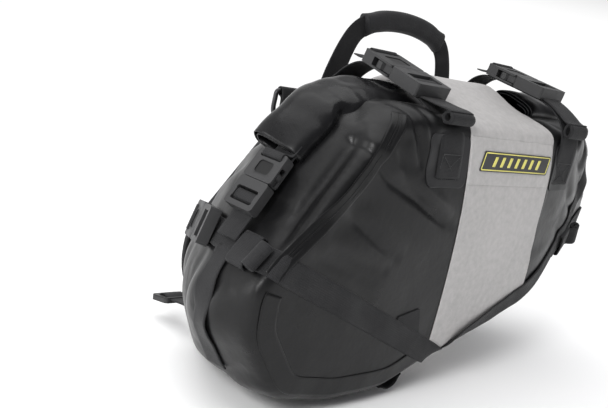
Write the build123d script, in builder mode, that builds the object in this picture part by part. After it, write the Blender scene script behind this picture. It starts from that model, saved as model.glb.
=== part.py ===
"""Motorcycle saddlebag: a welded roll-top dry bag with webbing, buckles and a handle.

Millimetres, +Z up. The origin is the middle of the heat panel on the back face, which
lies against the motorcycle. +Y points out of that face, -Y to the rider's outer side,
and X runs along the bag, with the deep end at -X.
"""
import os
from math import cos, radians, sin

from build123d import *

# ---- driving dimensions --------------------------------------------------------------
depth = 176          # bag, front face to back face
panel = 4            # heat panel thickness, its outer face is the plane y = 0
back = -panel        # back face of the bag's own fabric
front = back - depth
fold = 132           # height of the front fold line above the origin
low = -130           # lowest point of the bag
top_left = -190      # where the front fold line ends
top_right = 200
end_left = -322
end_right = 300
wall = 2.0           # coated fabric with its foam stiffener
webbing = 1.6        # webbing thickness
wide = 38            # wide webbing
narrow = 25          # narrow webbing
cross_x = 110        # cross straps, each side of the middle
handle_x = 100       # handle legs, each side of the middle
ring_x = 147         # D-rings, each side of the middle
roll_wide = 56       # rolled mouth, across the bag
roll_thick = 34
roll_y = -105

band_left = ((-80, fold), (-57, low))      # edges of the pale centre band
band_right = ((79, fold), (106, low))

os.makedirs("parts", exist_ok=True)


def save(piece, name):
    """Label a finished piece and write its STEP file."""
    piece.part.label = name
    export_step(piece.part, f"parts/{name}.step")


# ---- bag shell -----------------------------------------------------------------------
def rounded_outline(corners, inset):
    """Closed outline in the XZ plane from (corner, radius) pairs, shrunk by inset."""
    with BuildSketch(Plane.XZ) as outline:
        with BuildLine():
            FilletPolyline(*[point for point, _ in corners],
                           radius=[radius for _, radius in corners], close=True)
        make_face()
        if inset:
            offset(amount=-inset, kind=Kind.INTERSECTION, mode=Mode.REPLACE)
    return outline.sketch


def side_outline(inset):
    """Outline seen along Y: square at the left, rising to the right."""
    corners = (
        ((top_left, fold + 60), 5),
        ((top_left, fold), 25),
        ((end_left, -12), 40),
        ((end_left, low), 98),
        ((-118, low), 90),
        ((end_right - 10, 18), 36),
        ((end_right, 55), 25),
        ((top_right, fold + 8), 25),
        ((top_right, fold + 60), 5),
    )
    return rounded_outline(corners, inset)


def plan_outline(inset):
    """Outline seen from above: the right end narrows towards the rear."""
    with BuildSketch(Plane.XY) as outline:
        Polygon(
            (end_left, back), (end_left, front), (120, front),
            (end_right, front + 52), (end_right, back), align=None,
        )
        fillet(outline.vertices().group_by(Axis.X)[0], 20)
        fillet(outline.vertices().group_by(Axis.X)[-1], 26)
        if inset:
            offset(amount=-inset, kind=Kind.INTERSECTION, mode=Mode.REPLACE)
    return outline.sketch


def section_outline(inset, roof):
    """Cross-section along the bag, with the roof's height at three depths."""
    front_z, middle_z, back_z = roof
    with BuildSketch(Plane.YZ) as outline:
        with BuildLine():
            Polyline((back, back_z), (back, low), (front, low), (front, front_z))
            ThreePointArc((front, front_z), ((front + back) / 2, middle_z), (back, back_z))
        make_face()
        fillet(outline.vertices().group_by(Axis.Y)[0], 16)
        if inset:
            offset(amount=-inset, kind=Kind.INTERSECTION, mode=Mode.REPLACE)
    return outline.sketch


# The left end slopes in towards the back: a slanted plane through three points.
slope_front = Vector(end_left, -100, -60)
slope_low = Vector(-264, back, -60)
slope_high = Vector(-217, back, 95)
slope_out = (slope_high - slope_front).cross(slope_low - slope_front).normalized()
slope_plane = Plane(slope_front, z_dir=slope_out)

# Its lower back corner is cut in further, by a second plane.
corner_at = Vector(-253, back, -51)
corner_out = (Vector(-227, back, -118) - corner_at).cross(Vector(-312, -100, -70) - corner_at).normalized()
corner_plane = Plane(corner_at, z_dir=corner_out)


def bag_form(inset, roof):
    """The stuffed bag as one solid, shrunk by inset."""
    with BuildPart() as form:
        extrude(side_outline(inset), amount=200, both=True)
        extrude(plan_outline(inset), amount=300, both=True, mode=Mode.INTERSECT)
        extrude(section_outline(inset, roof), amount=400, both=True, mode=Mode.INTERSECT)
        split(bisect_by=slope_plane.offset(-inset), keep=Keep.BOTTOM)
        split(bisect_by=corner_plane.offset(-inset), keep=Keep.BOTTOM)
    return form.part


def zone(points):
    """Part of the bag between two cuts, as a sketch to extrude along Y."""
    with BuildSketch(Plane.XZ) as area:
        Polygon(*points, align=None)
    return area.sketch


reach = 400
left_zone = ((-reach, -reach), band_left[1], band_left[0], (-80, reach), (-reach, reach))
mid_zone = (band_left[1], band_right[1], band_right[0], (79, reach), (-80, reach), band_left[0])
right_zone = (band_right[1], (reach, -reach), (reach, reach), (79, reach), band_right[0])

left_roof = (fold, 122, fold + 6)
mid_roof = (fold, 172, fold + 6)
right_roof = (fold, 140, fold + 6)


def shell_piece(points, roof):
    """Hollow fabric shell between two cuts."""
    with BuildPart() as piece:
        add(bag_form(0, roof))
        add(bag_form(wall, roof), mode=Mode.SUBTRACT)
        extrude(zone(points), amount=reach, both=True, mode=Mode.INTERSECT)
    return piece


def step_wall(cut, side_roof, inward):
    """Upright wall that closes the step where the centre band stands above an end."""
    (high_x, high_z), (low_x, low_z) = cut
    area = ((high_x, high_z), (low_x, low_z), (low_x + inward, low_z),
            (high_x + inward, high_z), (high_x + inward, reach), (high_x, reach))
    with BuildPart() as step:
        add(bag_form(0, mid_roof))
        add(bag_form(0.01, side_roof), mode=Mode.SUBTRACT)
        extrude(zone(area), amount=reach, both=True, mode=Mode.INTERSECT)
    return step.part


left_end_shell = shell_piece(left_zone, left_roof)
save(left_end_shell, "left_end_shell")

right_end_shell = shell_piece(right_zone, right_roof)
save(right_end_shell, "right_end_shell")

with BuildPart() as centre_band_shell:
    add(shell_piece(mid_zone, mid_roof).part)
    add(step_wall(band_left, left_roof, wall))
    add(step_wall(band_right, right_roof, -wall))
save(centre_band_shell, "centre_band_shell")


# ---- rolled mouths -------------------------------------------------------------------
def roll_top(path, neck_base, neck_depth):
    """A flattened mouth rolled round its stiffener, on the neck that joins it to the bag."""
    start, bend, end = [Vector(x, roll_y, z) for x, z in path]
    along = (bend - start).normalized()
    with BuildPart() as roll:
        with BuildLine() as centre:
            Polyline(start, bend, end)
        with BuildSketch(Plane(start, x_dir=(0, 1, 0), z_dir=along)) as section:
            RectangleRounded(roll_wide, roll_thick, 12)
        sweep(path=centre.wires()[0], transition=Transition.RIGHT)
        inward = -1 if along.X > 0 else 1
        with BuildSketch(Plane(start + along * 4, x_dir=(0, 1, 0), z_dir=along)):
            Polygon((-neck_base, neck_depth * inward), (neck_base, neck_depth * inward),
                    (22, 12 * inward), (-22, 12 * inward), align=None)
        extrude(amount=(bend - start).length - 18)
    return roll


left_roll_path = ((-256, 91), (-206, 145), (-88, 142))
right_roll_path = ((261, 119), (216, 160), (98, 160))
left_roll_top = roll_top(left_roll_path, 52, 20)
right_roll_top = roll_top(right_roll_path, 30, 22.5)
save(left_roll_top, "left_roll_top")
save(right_roll_top, "right_roll_top")


# ---- webbing helpers -----------------------------------------------------------------
def strap_side(points, radius, plane):
    """Edge-on view of a strap that follows the points, to be extruded to its width."""
    with BuildSketch(plane) as view:
        with BuildLine():
            FilletPolyline(*points, radius=radius)
        trace(line_width=webbing)
    return view.sketch


def outline_ring(gap, thickness, region):
    """A strip that follows the bag's side outline inside a region of the XZ plane."""
    with BuildSketch(Plane.XZ) as ring:
        add(side_outline(-gap - thickness))
        add(side_outline(-gap), mode=Mode.SUBTRACT)
        Polygon(*region, align=None, mode=Mode.INTERSECT)
    return ring.sketch


def slab(sketch, near, far):
    """Extrude a sketch drawn on XZ from y = near to y = far, far being nearer the front."""
    extrude(sketch.moved(Location((0, near, 0))), amount=near - far)


def rotated_box(centre, angle, length, width):
    """Four corners of a rectangle in the XZ plane."""
    c, s = cos(radians(angle)), sin(radians(angle))
    corners = ((-1, -1), (1, -1), (1, 1), (-1, 1))
    return [(centre[0] + i * length / 2 * c - j * width / 2 * s,
             centre[1] + i * length / 2 * s + j * width / 2 * c) for i, j in corners]


# ---- side-release buckles ------------------------------------------------------------
class BuckleSize:
    """Named sizes of one side-release buckle."""

    def __init__(self, strap, width, length, height):
        self.strap = strap
        self.width = width
        self.length = length
        self.height = height
        self.half = length / 2
        self.plate = height * 0.17
        self.floor = length * 0.19       # solid block behind the socket
        self.arm = 4.2                   # width of one prong
        self.arm_at = width / 2 - 4.9    # middle of a prong, from the centre line


large = BuckleSize(wide, 52, 78, 13)
small = BuckleSize(narrow, 35, 58, 10.5)


def female_half(at, size):
    """Socket half: two plates joined by the block that holds the sewn strap."""
    with BuildPart() as piece:
        with BuildSketch(at):
            with Locations((-size.half / 2, 0)):
                Rectangle(size.half, size.width)
        extrude(amount=size.height)
        fillet(piece.edges().filter_by(Axis((0, 0, 0), at.z_dir)), 3)
        with BuildSketch(at.offset(size.plate)):
            with Locations((-(size.half - size.floor) / 2, 0)):
                Rectangle(size.half - size.floor, size.width + 2)
        extrude(amount=size.height - 2 * size.plate, mode=Mode.SUBTRACT)
        with BuildSketch(at):
            with Locations((-size.half + 5.5, 0)):
                SlotOverall(size.strap + 1.5, 4, rotation=90)
        extrude(amount=size.height, mode=Mode.SUBTRACT)
        with BuildSketch(at.offset(size.height - 0.7)):
            with Locations((-size.half * 0.42, 0)):
                RectangleRounded(size.half * 0.42, size.width * 0.5, 3)
        extrude(amount=0.7, mode=Mode.SUBTRACT)
    return piece


def male_half(at, size):
    """Ladder-lock half with its centre guide."""
    gap = 0.5
    with BuildPart() as piece:
        with BuildSketch(at):
            with Locations(((size.half + gap) / 2, 0)):
                Rectangle(size.half - gap, size.width)
        extrude(amount=size.height)
        fillet(piece.edges().filter_by(Axis((0, 0, 0), at.z_dir)), 3)
        with BuildSketch(at):
            with Locations((size.half * 0.42, 0), (size.half * 0.76, 0)):
                SlotOverall(size.strap + 1.5, 4.4, rotation=90)
        extrude(amount=size.height, mode=Mode.SUBTRACT)
        with BuildSketch(at.offset(size.height * 0.72)):
            with Locations((size.half * 0.59, 0)):
                Rectangle(size.half * 0.36, size.strap)
        extrude(amount=size.height * 0.3, mode=Mode.SUBTRACT)
        guide = size.half - size.floor - 4
        with BuildSketch(at.offset(size.plate + 0.6)):
            with Locations((gap - guide / 2 + 0.5, 0)):
                Rectangle(guide + 1, 8)
        extrude(amount=size.height - 2 * size.plate - 1.2)
    return piece


def prong(at, size, side):
    """One sprung prong: a rounded root, a slim arm and a thumb-wide tip."""
    reach_in = size.half - size.floor - 3
    middle = side * size.arm_at
    with BuildPart() as piece:
        with BuildSketch(at.offset(size.plate + 0.6)):
            with BuildLine():
                inner = middle - side * size.arm / 2
                outer = middle + side * size.arm / 2
                Polyline(
                    (-0.2, inner), (-0.2, outer), (-reach_in * 0.45, outer),
                    (-reach_in * 0.55, side * (size.width / 2 + 0.4)),
                    (-reach_in * 0.8, side * (size.width / 2 + 0.4)),
                    (-reach_in, outer - side * 1.2), (-reach_in, inner), (-0.2, inner),
                )
            make_face()
        extrude(amount=size.height - 2 * size.plate - 1.2)
    return piece


def buckle(name, at, size):
    """Write the four pieces of a buckle; x of the plane points to the ladder-lock half."""
    save(female_half(at, size), f"{name}_female")
    save(male_half(at, size), f"{name}_male")
    save(prong(at, size, 1), f"{name}_prong_a")
    save(prong(at, size, -1), f"{name}_prong_b")


# ---- cross straps over the top -------------------------------------------------------
def cross_line(side, y):
    """Height of the straight stretch that carries the top buckle."""
    return roll_tops[side] + 3 + (y - roll_front) * slopes[side]


roll_front = -121
roll_tops = {-1: 142 + roll_thick / 2, 1: 159 + roll_thick / 2}
slopes = {-1: 0.268, 1: 0.176}
cross_middle = -106
strap_front = front - 1.9

for side, word in ((-1, "left"), (1, "right")):
    plane = Plane.YZ.offset(side * cross_x - wide / 2)
    outer_path = (
        (strap_front, 88), (strap_front, fold + 3), (-168, cross_line(side, -168)),
        (cross_middle - 1, cross_line(side, cross_middle - 1)),
    )
    with BuildPart() as cross_strap:
        extrude(strap_side(outer_path, 4, plane), amount=wide)
    save(cross_strap, f"{word}_cross_strap")

    roof_end = (left_roof if side < 0 else right_roof)[2]
    inner_path = (
        (cross_middle + 1, cross_line(side, cross_middle + 1)),
        (cross_middle + 42, cross_line(side, cross_middle + 42)),
        (-32, roof_end + 12), (-12, roof_end + 1.7),
    )
    with BuildPart() as cross_anchor:
        extrude(strap_side(inner_path, 4, plane), amount=wide)
    save(cross_anchor, f"{word}_cross_strap_anchor")

    lean = Vector(0, -1, -slopes[side]).normalized()
    up = Vector(1, 0, 0).cross(lean) * -1
    origin = Vector(side * cross_x, cross_middle, cross_line(side, cross_middle)) + up * 1.3
    buckle(f"{word}_top_buckle", Plane(origin, x_dir=lean, z_dir=up), large)


# ---- compression straps round the ends -----------------------------------------------
def end_strap_box(centre, angle, width):
    """Region of the side outline that one strap covers."""
    return rotated_box(centre, angle, width, 40)


left_cross_at, left_face_angle = (-300.4, 11.6), 47.5
right_cross_at, right_face_angle = (296, 37), -105
right_middle = -40
strap_lift = 0.3 + webbing + 0.5         # from the bag's surface to the back of a buckle

# the left strap turns onto the sloping end and follows it to the back
slope_y = slope_front.Y - ((left_cross_at[0] - slope_front.X) * slope_out.X
                           + (left_cross_at[1] - slope_front.Z) * slope_out.Z) / slope_out.Y
slope_start = Vector(left_cross_at[0], slope_y, left_cross_at[1])
slope_back = (Vector(0, 1, 0) - slope_out * slope_out.Y).normalized()
side_middle = 38                         # middle of the buckle, along the slope
slope_strap_plane = Plane(slope_start + slope_out * 0.3, x_dir=slope_back, z_dir=slope_out)


def slope_strap(first, last):
    """A stretch of webbing on the sloping end."""
    with BuildSketch(slope_strap_plane) as stretch:
        with Locations(((first + last) / 2, 0)):
            Rectangle(last - first, narrow)
    extrude(stretch.sketch, amount=webbing)


with BuildPart() as left_compression_strap:
    with BuildSketch(Plane.XZ.offset(-front + 0.3)):
        with BuildLine():
            Line((-45, -101), (-297, 7))
        trace(line_width=narrow)
    extrude(amount=webbing)
    slab(outline_ring(0.3, webbing, end_strap_box(left_cross_at, left_face_angle, narrow)),
         slope_y, front + 12)
    slope_strap(-1, side_middle - 1)
save(left_compression_strap, "left_compression_strap")

with BuildPart() as left_compression_anchor:
    slope_strap(side_middle + 1, 106)
save(left_compression_anchor, "left_compression_anchor")

taper = Vector(end_right - 120, 52, 0).normalized()
taper_out = Vector(taper.Y, -taper.X, 0)
with BuildPart() as right_compression_strap:
    with BuildSketch(Plane.XZ.offset(-front + 0.3)):
        with BuildLine():
            Line((30, -60), (117, -29))
        trace(line_width=narrow)
    extrude(amount=webbing)
    taper_start = Vector(120, front, 0) + taper_out * 0.3
    with BuildSketch(Plane(taper_start, x_dir=taper, z_dir=taper_out)):
        with BuildLine():
            Line((2, -28), (150, 40))
        trace(line_width=narrow)
    extrude(amount=webbing)
    slab(outline_ring(0.3, webbing, end_strap_box(right_cross_at, right_face_angle, narrow)),
         right_middle - 1, front + 74)
save(right_compression_strap, "right_compression_strap")

with BuildPart() as right_compression_anchor:
    slab(outline_ring(0.3, webbing, end_strap_box(right_cross_at, right_face_angle, narrow)),
         back - 2, right_middle + 1)
save(right_compression_anchor, "right_compression_anchor")

origin = slope_start + slope_back * side_middle + slope_out * strap_lift
buckle("left_side_buckle", Plane(origin, x_dir=slope_back * -1, z_dir=slope_out), small)

right_out = Vector(0.966, 0, -0.259)
rounding = 3.4                           # the end stands proud of its outline at the corner
origin = Vector(right_cross_at[0], right_middle, right_cross_at[1])
origin = origin + right_out * (strap_lift + rounding)
buckle("right_side_buckle", Plane(origin, x_dir=(0, -1, 0), z_dir=right_out), small)


# ---- tethers from the roll ends ------------------------------------------------------
tethers = {
    "left": {"start": (-259, 88), "end": (-305, 17), "y": -118, "out": -1},
    "right": {"start": (262, 114), "end": (310, 43), "y": -100, "out": 1},
}
for word, tether in tethers.items():
    (x0, z0), (x1, z1) = tether["start"], tether["end"]
    run = Vector(x1 - x0, 0, z1 - z0)
    down = run.normalized()
    out = Vector(0, 1, 0).cross(down) * tether["out"]
    if out.X * tether["out"] < 0:
        out = out * -1
    start = Vector(x0, tether["y"], z0)
    mid_gap = 6 + small.half
    with BuildPart() as tether_strap:
        for first, last in ((0, mid_gap - 1), (mid_gap + 1, run.length)):
            at = Plane(start + down * first, x_dir=(0, 1, 0), z_dir=down)
            with BuildSketch(at):
                Rectangle(narrow, webbing)
            extrude(amount=last - first)
    save(tether_strap, f"{word}_tether_strap")
    origin = start + down * mid_gap + out * (webbing / 2 + 0.5)
    buckle(f"{word}_end_buckle", Plane(origin, x_dir=down, z_dir=out), small)


# ---- straps down the ends, stiffeners, keepers, tails --------------------------------
with BuildPart() as left_end_strap:
    slab(outline_ring(0.3, webbing, ((-400, -2), (-250, -2), (-250, -110), (-400, -110))), -110, -135)
save(left_end_strap, "left_end_strap")

with BuildPart() as right_end_strap:
    slab(outline_ring(0.3, webbing, ((240, 20), (400, 20), (400, -40), (240, -40))), -88, -113)
save(right_end_strap, "right_end_strap")

over_strap = 0.3 + webbing + 0.3         # from the bag's surface to what lies on a strap
taper_plane = Plane(Vector(120, front, 0) + taper_out * 2.2, x_dir=taper, z_dir=taper_out)
with BuildPart() as strap_keepers:
    slab(outline_ring(over_strap, webbing, end_strap_box(left_cross_at, left_face_angle, 31)),
         -132, -152)
    with BuildSketch(taper_plane):
        Polygon(*rotated_box((86, 11), 24.7, 26, 31), align=None)
    extrude(amount=webbing)
save(strap_keepers, "strap_keepers")

with BuildPart() as rolled_tails:
    for x, y, z, radius, width in ((-cross_x, front - 1.5, 146, 6, wide),
                                   (cross_x, front - 3.5, 152, 6, wide)):
        with BuildSketch(Plane.YZ.offset(x - width / 2)):
            with Locations((y, z)):
                Circle(radius)
        extrude(amount=width)
    slab(outline_ring(over_strap, 10, end_strap_box(left_cross_at, left_face_angle, narrow)),
         -153, -167)
    with BuildSketch(taper_plane):
        Polygon(*rotated_box((110, 22), 24.7, 13, narrow), align=None)
    extrude(amount=10)
save(rolled_tails, "rolled_tails")

with BuildPart() as outer_patches:
    for x in (-117, 117):
        with BuildSketch(Plane.XZ.offset(-front + 0.1)):
            with Locations((x, 97)):
                RectangleRounded(68, 64, 10)
        extrude(amount=0.8)
save(outer_patches, "outer_patches")

with BuildPart() as lower_patch:
    with BuildSketch(Plane.XZ.offset(-front + 0.1)):
        Polygon((-128, -42), (-98, -36), (-88, -56), align=None)
    extrude(amount=0.8)
save(lower_patch, "lower_patch")

with BuildPart() as bottom_loops:
    slab(outline_ring(0.3, 3.2, ((-120, -160), (-92, -160), (-92, -100), (-120, -100))), -150, -174)
    slab(outline_ring(0.3, 3.2, ((-236, -160), (-206, -160), (-206, -100), (-236, -100))), -24, -60)
    slab(outline_ring(0.3, 3.2, ((-86, -160), (-58, -160), (-58, -80), (-86, -80))), -24, -60)
    slab(outline_ring(0.3, 3.2, ((150, -160), (178, -160), (178, 0), (150, 0))), -24, -60)
save(bottom_loops, "bottom_loops")

# ---- back: heat panel, piping, handle bases ------------------------------------------
heat_corners = (
    ((-170, 82), 18), ((-247, -22), 28), ((-247, -105), 68), ((-128, -105), 60),
    ((268, 38), 18), ((266, 62), 12), ((240, 82), 14),
)


def heat_outline(grow):
    """Outline of the heat panel, grown by a margin."""
    return rounded_outline(heat_corners, -grow)


with BuildPart() as back_panel:
    slab(heat_outline(0), 0, back + 0.1)
save(back_panel, "back_panel")

with BuildPart() as back_panel_piping:
    with BuildSketch(Plane.XZ) as border:
        add(heat_outline(7))
        add(heat_outline(0.3), mode=Mode.SUBTRACT)
    slab(border.sketch, -0.4, back + 0.1)
    fillet(back_panel_piping.faces().sort_by(Axis.Y)[-1].edges(), 1.4)
save(back_panel_piping, "back_panel_piping")

base_low, base_high = 91, 136
flat_y = back + 0.1
with BuildPart() as handle_bases:
    for side in (-1, 1):
        with BuildSketch(Plane.XZ.offset(-flat_y - webbing)):
            with Locations((side * handle_x, (base_low + base_high) / 2)):
                Rectangle(wide, base_high - base_low)
        extrude(amount=webbing)
save(handle_bases, "handle_bases")

with BuildPart() as hook_and_loop_panel:
    with BuildSketch(Plane.XZ.offset(-flat_y - 1.2)):
        with Locations((0, 106)):
            RectangleRounded(150, 26, 4)
    extrude(amount=1.2)
save(hook_and_loop_panel, "hook_and_loop_panel")

with BuildPart() as top_edge_strap:
    with BuildSketch(Plane.XZ.offset(-flat_y - webbing)):
        with Locations((0, 129)):
            Rectangle(2 * (handle_x - wide / 2) - 1, 14)
    extrude(amount=webbing)
save(top_edge_strap, "top_edge_strap")

# ---- handle --------------------------------------------------------------------------
handle_root = base_high + 4.6     # bare stretch where the webbing bends
grip_ends = ((-66, 212), (0, 223), (66, 212))
with BuildPart() as handle_webbing:
    for side in (-1, 1):
        with BuildSketch(Plane.XZ.offset(-flat_y - webbing)):
            with BuildLine():
                Polyline((side * 119, handle_root), (side * 81, handle_root),
                         (side * 63, 201.5), (side * 70.6, 223.4), (side * 86, 216),
                         (side * 100, 196), (side * 119, handle_root))
            make_face()
        extrude(amount=webbing)
save(handle_webbing, "handle_webbing")

with BuildPart() as handle_grip:
    with BuildLine() as grip_line:
        ThreePointArc(*[(x, flat_y + webbing / 2, z) for x, z in grip_ends])
    with BuildSketch(Plane(grip_line.line @ 0, x_dir=(0, 1, 0), z_dir=grip_line.line % 0)):
        RectangleRounded(15, 24, 6)
    sweep()
save(handle_grip, "handle_grip")

# ---- D-rings -------------------------------------------------------------------------
bar_r, bar_z = 2.5, 128
bar_y = flat_y + webbing + 5.2
with BuildPart() as ring_tabs:
    for side in (-1, 1):
        with BuildSketch(Plane.XZ.offset(-flat_y - webbing)):
            with Locations((side * ring_x, 111)):
                Rectangle(40, 44)
        extrude(amount=webbing)
        with BuildSketch(Plane.YZ.offset(side * ring_x - 18)):
            with Locations((bar_y, bar_z)):
                Circle(bar_r + 0.5 + webbing)
                Circle(bar_r + 0.5, mode=Mode.SUBTRACT)
            with Locations((flat_y + webbing + 0.4, bar_z)):
                Rectangle(1.4, 4)
        extrude(amount=36)
save(ring_tabs, "ring_tabs")

for side, word in ((-1, "left"), (1, "right")):
    x = side * ring_x
    with BuildPart() as d_ring:
        with BuildLine(Plane.XZ.offset(-bar_y)) as shape:
            FilletPolyline((x - 22.5, bar_z), (x + 22.5, bar_z), (x + 22.5, 93), (x - 22.5, 93),
                           radius=[4, 4, 20, 20], close=True)
        start = shape.wires()[0] @ 0
        with BuildSketch(Plane(start, z_dir=shape.wires()[0] % 0)):
            Circle(bar_r)
        sweep(path=shape.wires()[0])
    save(d_ring, f"{word}_d_ring")

# ---- rivets, rack strap, badge, stiffeners -------------------------------------------
with BuildPart() as rivets:
    for x, z in ((-handle_x, 100), (handle_x, 100)):
        with BuildSketch(Plane.XZ.offset(-flat_y - webbing - 1.5)):
            with Locations((x, z)):
                Circle(4)
        extrude(amount=1.4)
save(rivets, "rivets")

stub_x = -210
with BuildPart() as rack_strap:
    stub = ((flat_y + 0.9, -116), (flat_y + 0.9, -111), (6, -108), (38, -113.5))
    extrude(strap_side(stub, 1.5, Plane.YZ.offset(stub_x - narrow / 2)), amount=narrow)
save(rack_strap, "rack_strap")

with BuildPart() as rack_strap_buckle:
    lock = Plane((stub_x, 52, -115.9), x_dir=(1, 0, 0), z_dir=(0, 0.17, 0.985))
    with BuildSketch(lock.offset(-3)):
        RectangleRounded(35, 27, 5)
        with Locations((0, -6), (0, 6)):
            SlotOverall(narrow + 1, 4.2, mode=Mode.SUBTRACT)
    extrude(amount=6)
    fillet(rack_strap_buckle.faces().sort_by(Axis.Z)[-1].outer_wire().edges(), 1)
save(rack_strap_buckle, "rack_strap_buckle")

with BuildPart() as badge:
    with BuildSketch(Plane.XZ.offset(-front + 0.1)):
        Polygon((-60, 98), (70, 98), (76, 119), (-54, 119), align=None)
    extrude(amount=0.8)
save(badge, "badge")
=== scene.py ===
"""Looks of the motorcycle saddlebag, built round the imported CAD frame.

The helpers work in millimetres in the frame's own axes: X along the bag with the deep
end at -X, -Y towards the rider's outer side, +Z up. make_piece() turns them into metres.
"""
import math

import bmesh
import bpy
import numpy as np
from mathutils import Matrix, Vector
from mathutils.bvhtree import BVHTree


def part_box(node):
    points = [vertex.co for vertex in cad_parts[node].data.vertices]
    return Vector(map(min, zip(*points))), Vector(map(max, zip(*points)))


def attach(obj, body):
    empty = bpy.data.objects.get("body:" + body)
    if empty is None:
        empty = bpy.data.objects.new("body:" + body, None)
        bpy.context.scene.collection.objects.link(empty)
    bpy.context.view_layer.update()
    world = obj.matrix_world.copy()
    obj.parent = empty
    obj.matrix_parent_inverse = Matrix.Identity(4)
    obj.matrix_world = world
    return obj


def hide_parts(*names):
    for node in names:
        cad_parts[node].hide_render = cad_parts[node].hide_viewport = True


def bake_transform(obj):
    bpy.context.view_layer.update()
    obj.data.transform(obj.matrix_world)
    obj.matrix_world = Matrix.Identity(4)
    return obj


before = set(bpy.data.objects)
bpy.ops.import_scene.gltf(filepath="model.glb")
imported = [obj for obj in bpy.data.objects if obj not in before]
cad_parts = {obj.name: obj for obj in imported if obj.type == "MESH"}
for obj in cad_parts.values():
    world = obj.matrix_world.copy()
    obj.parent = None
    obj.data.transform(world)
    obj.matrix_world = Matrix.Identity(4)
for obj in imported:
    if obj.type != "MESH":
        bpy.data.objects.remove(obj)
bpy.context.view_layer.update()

MM = 0.001


# ---- sizes that come from the frame ------------------------------------------------------
def node_box(name):
    """Lowest and highest corner of a CAD node, in millimetres."""
    lowest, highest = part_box(name)
    return np.array(lowest) / MM, np.array(highest) / MM


band_box = node_box("centre_band_shell")
left_box = node_box("left_end_shell")
right_box = node_box("right_end_shell")
FRONT, BACK = band_box[0][1], band_box[1][1]
END_LEFT, END_RIGHT = left_box[0][0], right_box[1][0]
LOW = left_box[0][2]
FOLD = LOW + 262                    # front fold line
CROSS_X = node_box("right_cross_strap")[0][0] + 19
HANDLE_X = node_box("rivets")[1][0] - 4
RING_X = node_box("right_d_ring")[0][0] + 25
WIDE, NARROW, WEB = 38, 25, 1.6     # webbing widths and thickness
TAPER_X, TAPER = 120, 52            # where the front starts to narrow, and by how much
BAND_LEFT = ((-80, FOLD), (-57, LOW))
BAND_RIGHT = ((79, FOLD), (106, LOW))


# ---- small vector helpers ----------------------------------------------------------------
def unit(v):
    """Vectors scaled to length 1."""
    v = np.asarray(v, float)
    return v / np.maximum(np.linalg.norm(v, axis=-1, keepdims=True), 1e-9)


def smoothstep(t):
    """Eased share: 0 below 0, 1 above 1."""
    t = np.clip(t, 0, 1)
    return t * t * (3 - 2 * t)


def power(value, exponent):
    """A power that keeps the sign."""
    return math.copysign(abs(value) ** exponent, value)


def run_length(path):
    """Distance along a polyline at each of its points."""
    return np.r_[0, np.cumsum(np.linalg.norm(np.diff(path, axis=0), axis=1))]


def direction(path):
    """Unit direction along a polyline at each of its points."""
    return unit(np.gradient(path, axis=0))


def facing(path, across):
    """Normals of a strap that follows a path, its width lying along across."""
    return np.cross(np.tile(across, (len(path), 1)), direction(path))


def resample(points, step, closed=False):
    """Evenly spaced points along a polyline."""
    points = np.asarray(points, float)
    if closed:
        points = np.vstack([points, points[:1]])
    run = run_length(points)
    count = max(3, int(round(run[-1] / step)) + 1)
    at = np.linspace(0, run[-1], count)
    made = np.stack([np.interp(at, run, points[:, i]) for i in range(points.shape[1])], 1)
    return made[:-1] if closed else made


def rounded_path(points, rounds=3, step=2.5):
    """Corner-cut a polyline, then space its points evenly."""
    points = np.asarray(points, float)
    for _ in range(rounds):
        first, last = points[:1], points[-1:]
        a = points[:-1] * 0.75 + points[1:] * 0.25
        b = points[:-1] * 0.25 + points[1:] * 0.75
        points = np.vstack([first, np.stack([a, b], 1).reshape(-1, points.shape[1]), last])
    return resample(points, step)


def rounded_outline(corners, step):
    """Closed counterclockwise outline from ((x, z), radius) corners."""
    out = []
    count = len(corners)
    for i, (corner, radius) in enumerate(corners):
        corner = np.array(corner, float)
        before = unit(np.array(corners[i - 1][0], float) - corner)
        after = unit(np.array(corners[(i + 1) % count][0], float) - corner)
        half = math.acos(np.clip(before @ after, -1, 1)) / 2
        reach = radius / math.tan(half)
        centre = corner + unit(before + after) * radius / math.sin(half)
        start, end = corner + before * reach - centre, corner + after * reach - centre
        turn = math.atan2(start[0] * end[1] - start[1] * end[0], start @ end)
        for angle in np.linspace(0, turn, 12):
            c, s = math.cos(angle), math.sin(angle)
            spot = start[0] * c - start[1] * s, start[0] * s + start[1] * c
            out.append(centre + np.array(spot))
    return resample(out, step, closed=True)


def outline_normals(outline):
    """Outward normals of a counterclockwise outline."""
    along = np.roll(outline, -1, 0) - np.roll(outline, 1, 0)
    return unit(np.stack([along[:, 1], -along[:, 0]], 1))


def grid_faces(rows, columns, closed_columns=True, closed_rows=False):
    """Quads of a grid of points."""
    faces = []
    for r in range(rows if closed_rows else rows - 1):
        for c in range(columns if closed_columns else columns - 1):
            d, e = (r + 1) % rows, (c + 1) % columns
            faces.append((r * columns + c, r * columns + e, d * columns + e, d * columns + c))
    return faces


def tube_faces(rows, columns):
    """Quads of a tube of points, with a face over each end."""
    last = (rows - 1) * columns
    ends = [tuple(range(columns)), tuple(range(last, last + columns))]
    return grid_faces(rows, columns) + ends


# ---- making pieces -----------------------------------------------------------------------
def make_piece(name, points, faces, material):
    """A mesh object from points in millimetres, with outward normals."""
    mesh = bpy.data.meshes.new(name)
    mesh.from_pydata([tuple(p) for p in np.asarray(points, float) * MM], [], faces)
    work = bmesh.new()
    work.from_mesh(mesh)
    bmesh.ops.recalc_face_normals(work, faces=work.faces)
    work.to_mesh(mesh)
    work.free()
    mesh.polygons.foreach_set("use_smooth", [True] * len(mesh.polygons))
    mesh.materials.append(material)
    made = bpy.data.objects.new(name, mesh)
    bpy.context.scene.collection.objects.link(made)
    return made


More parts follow.
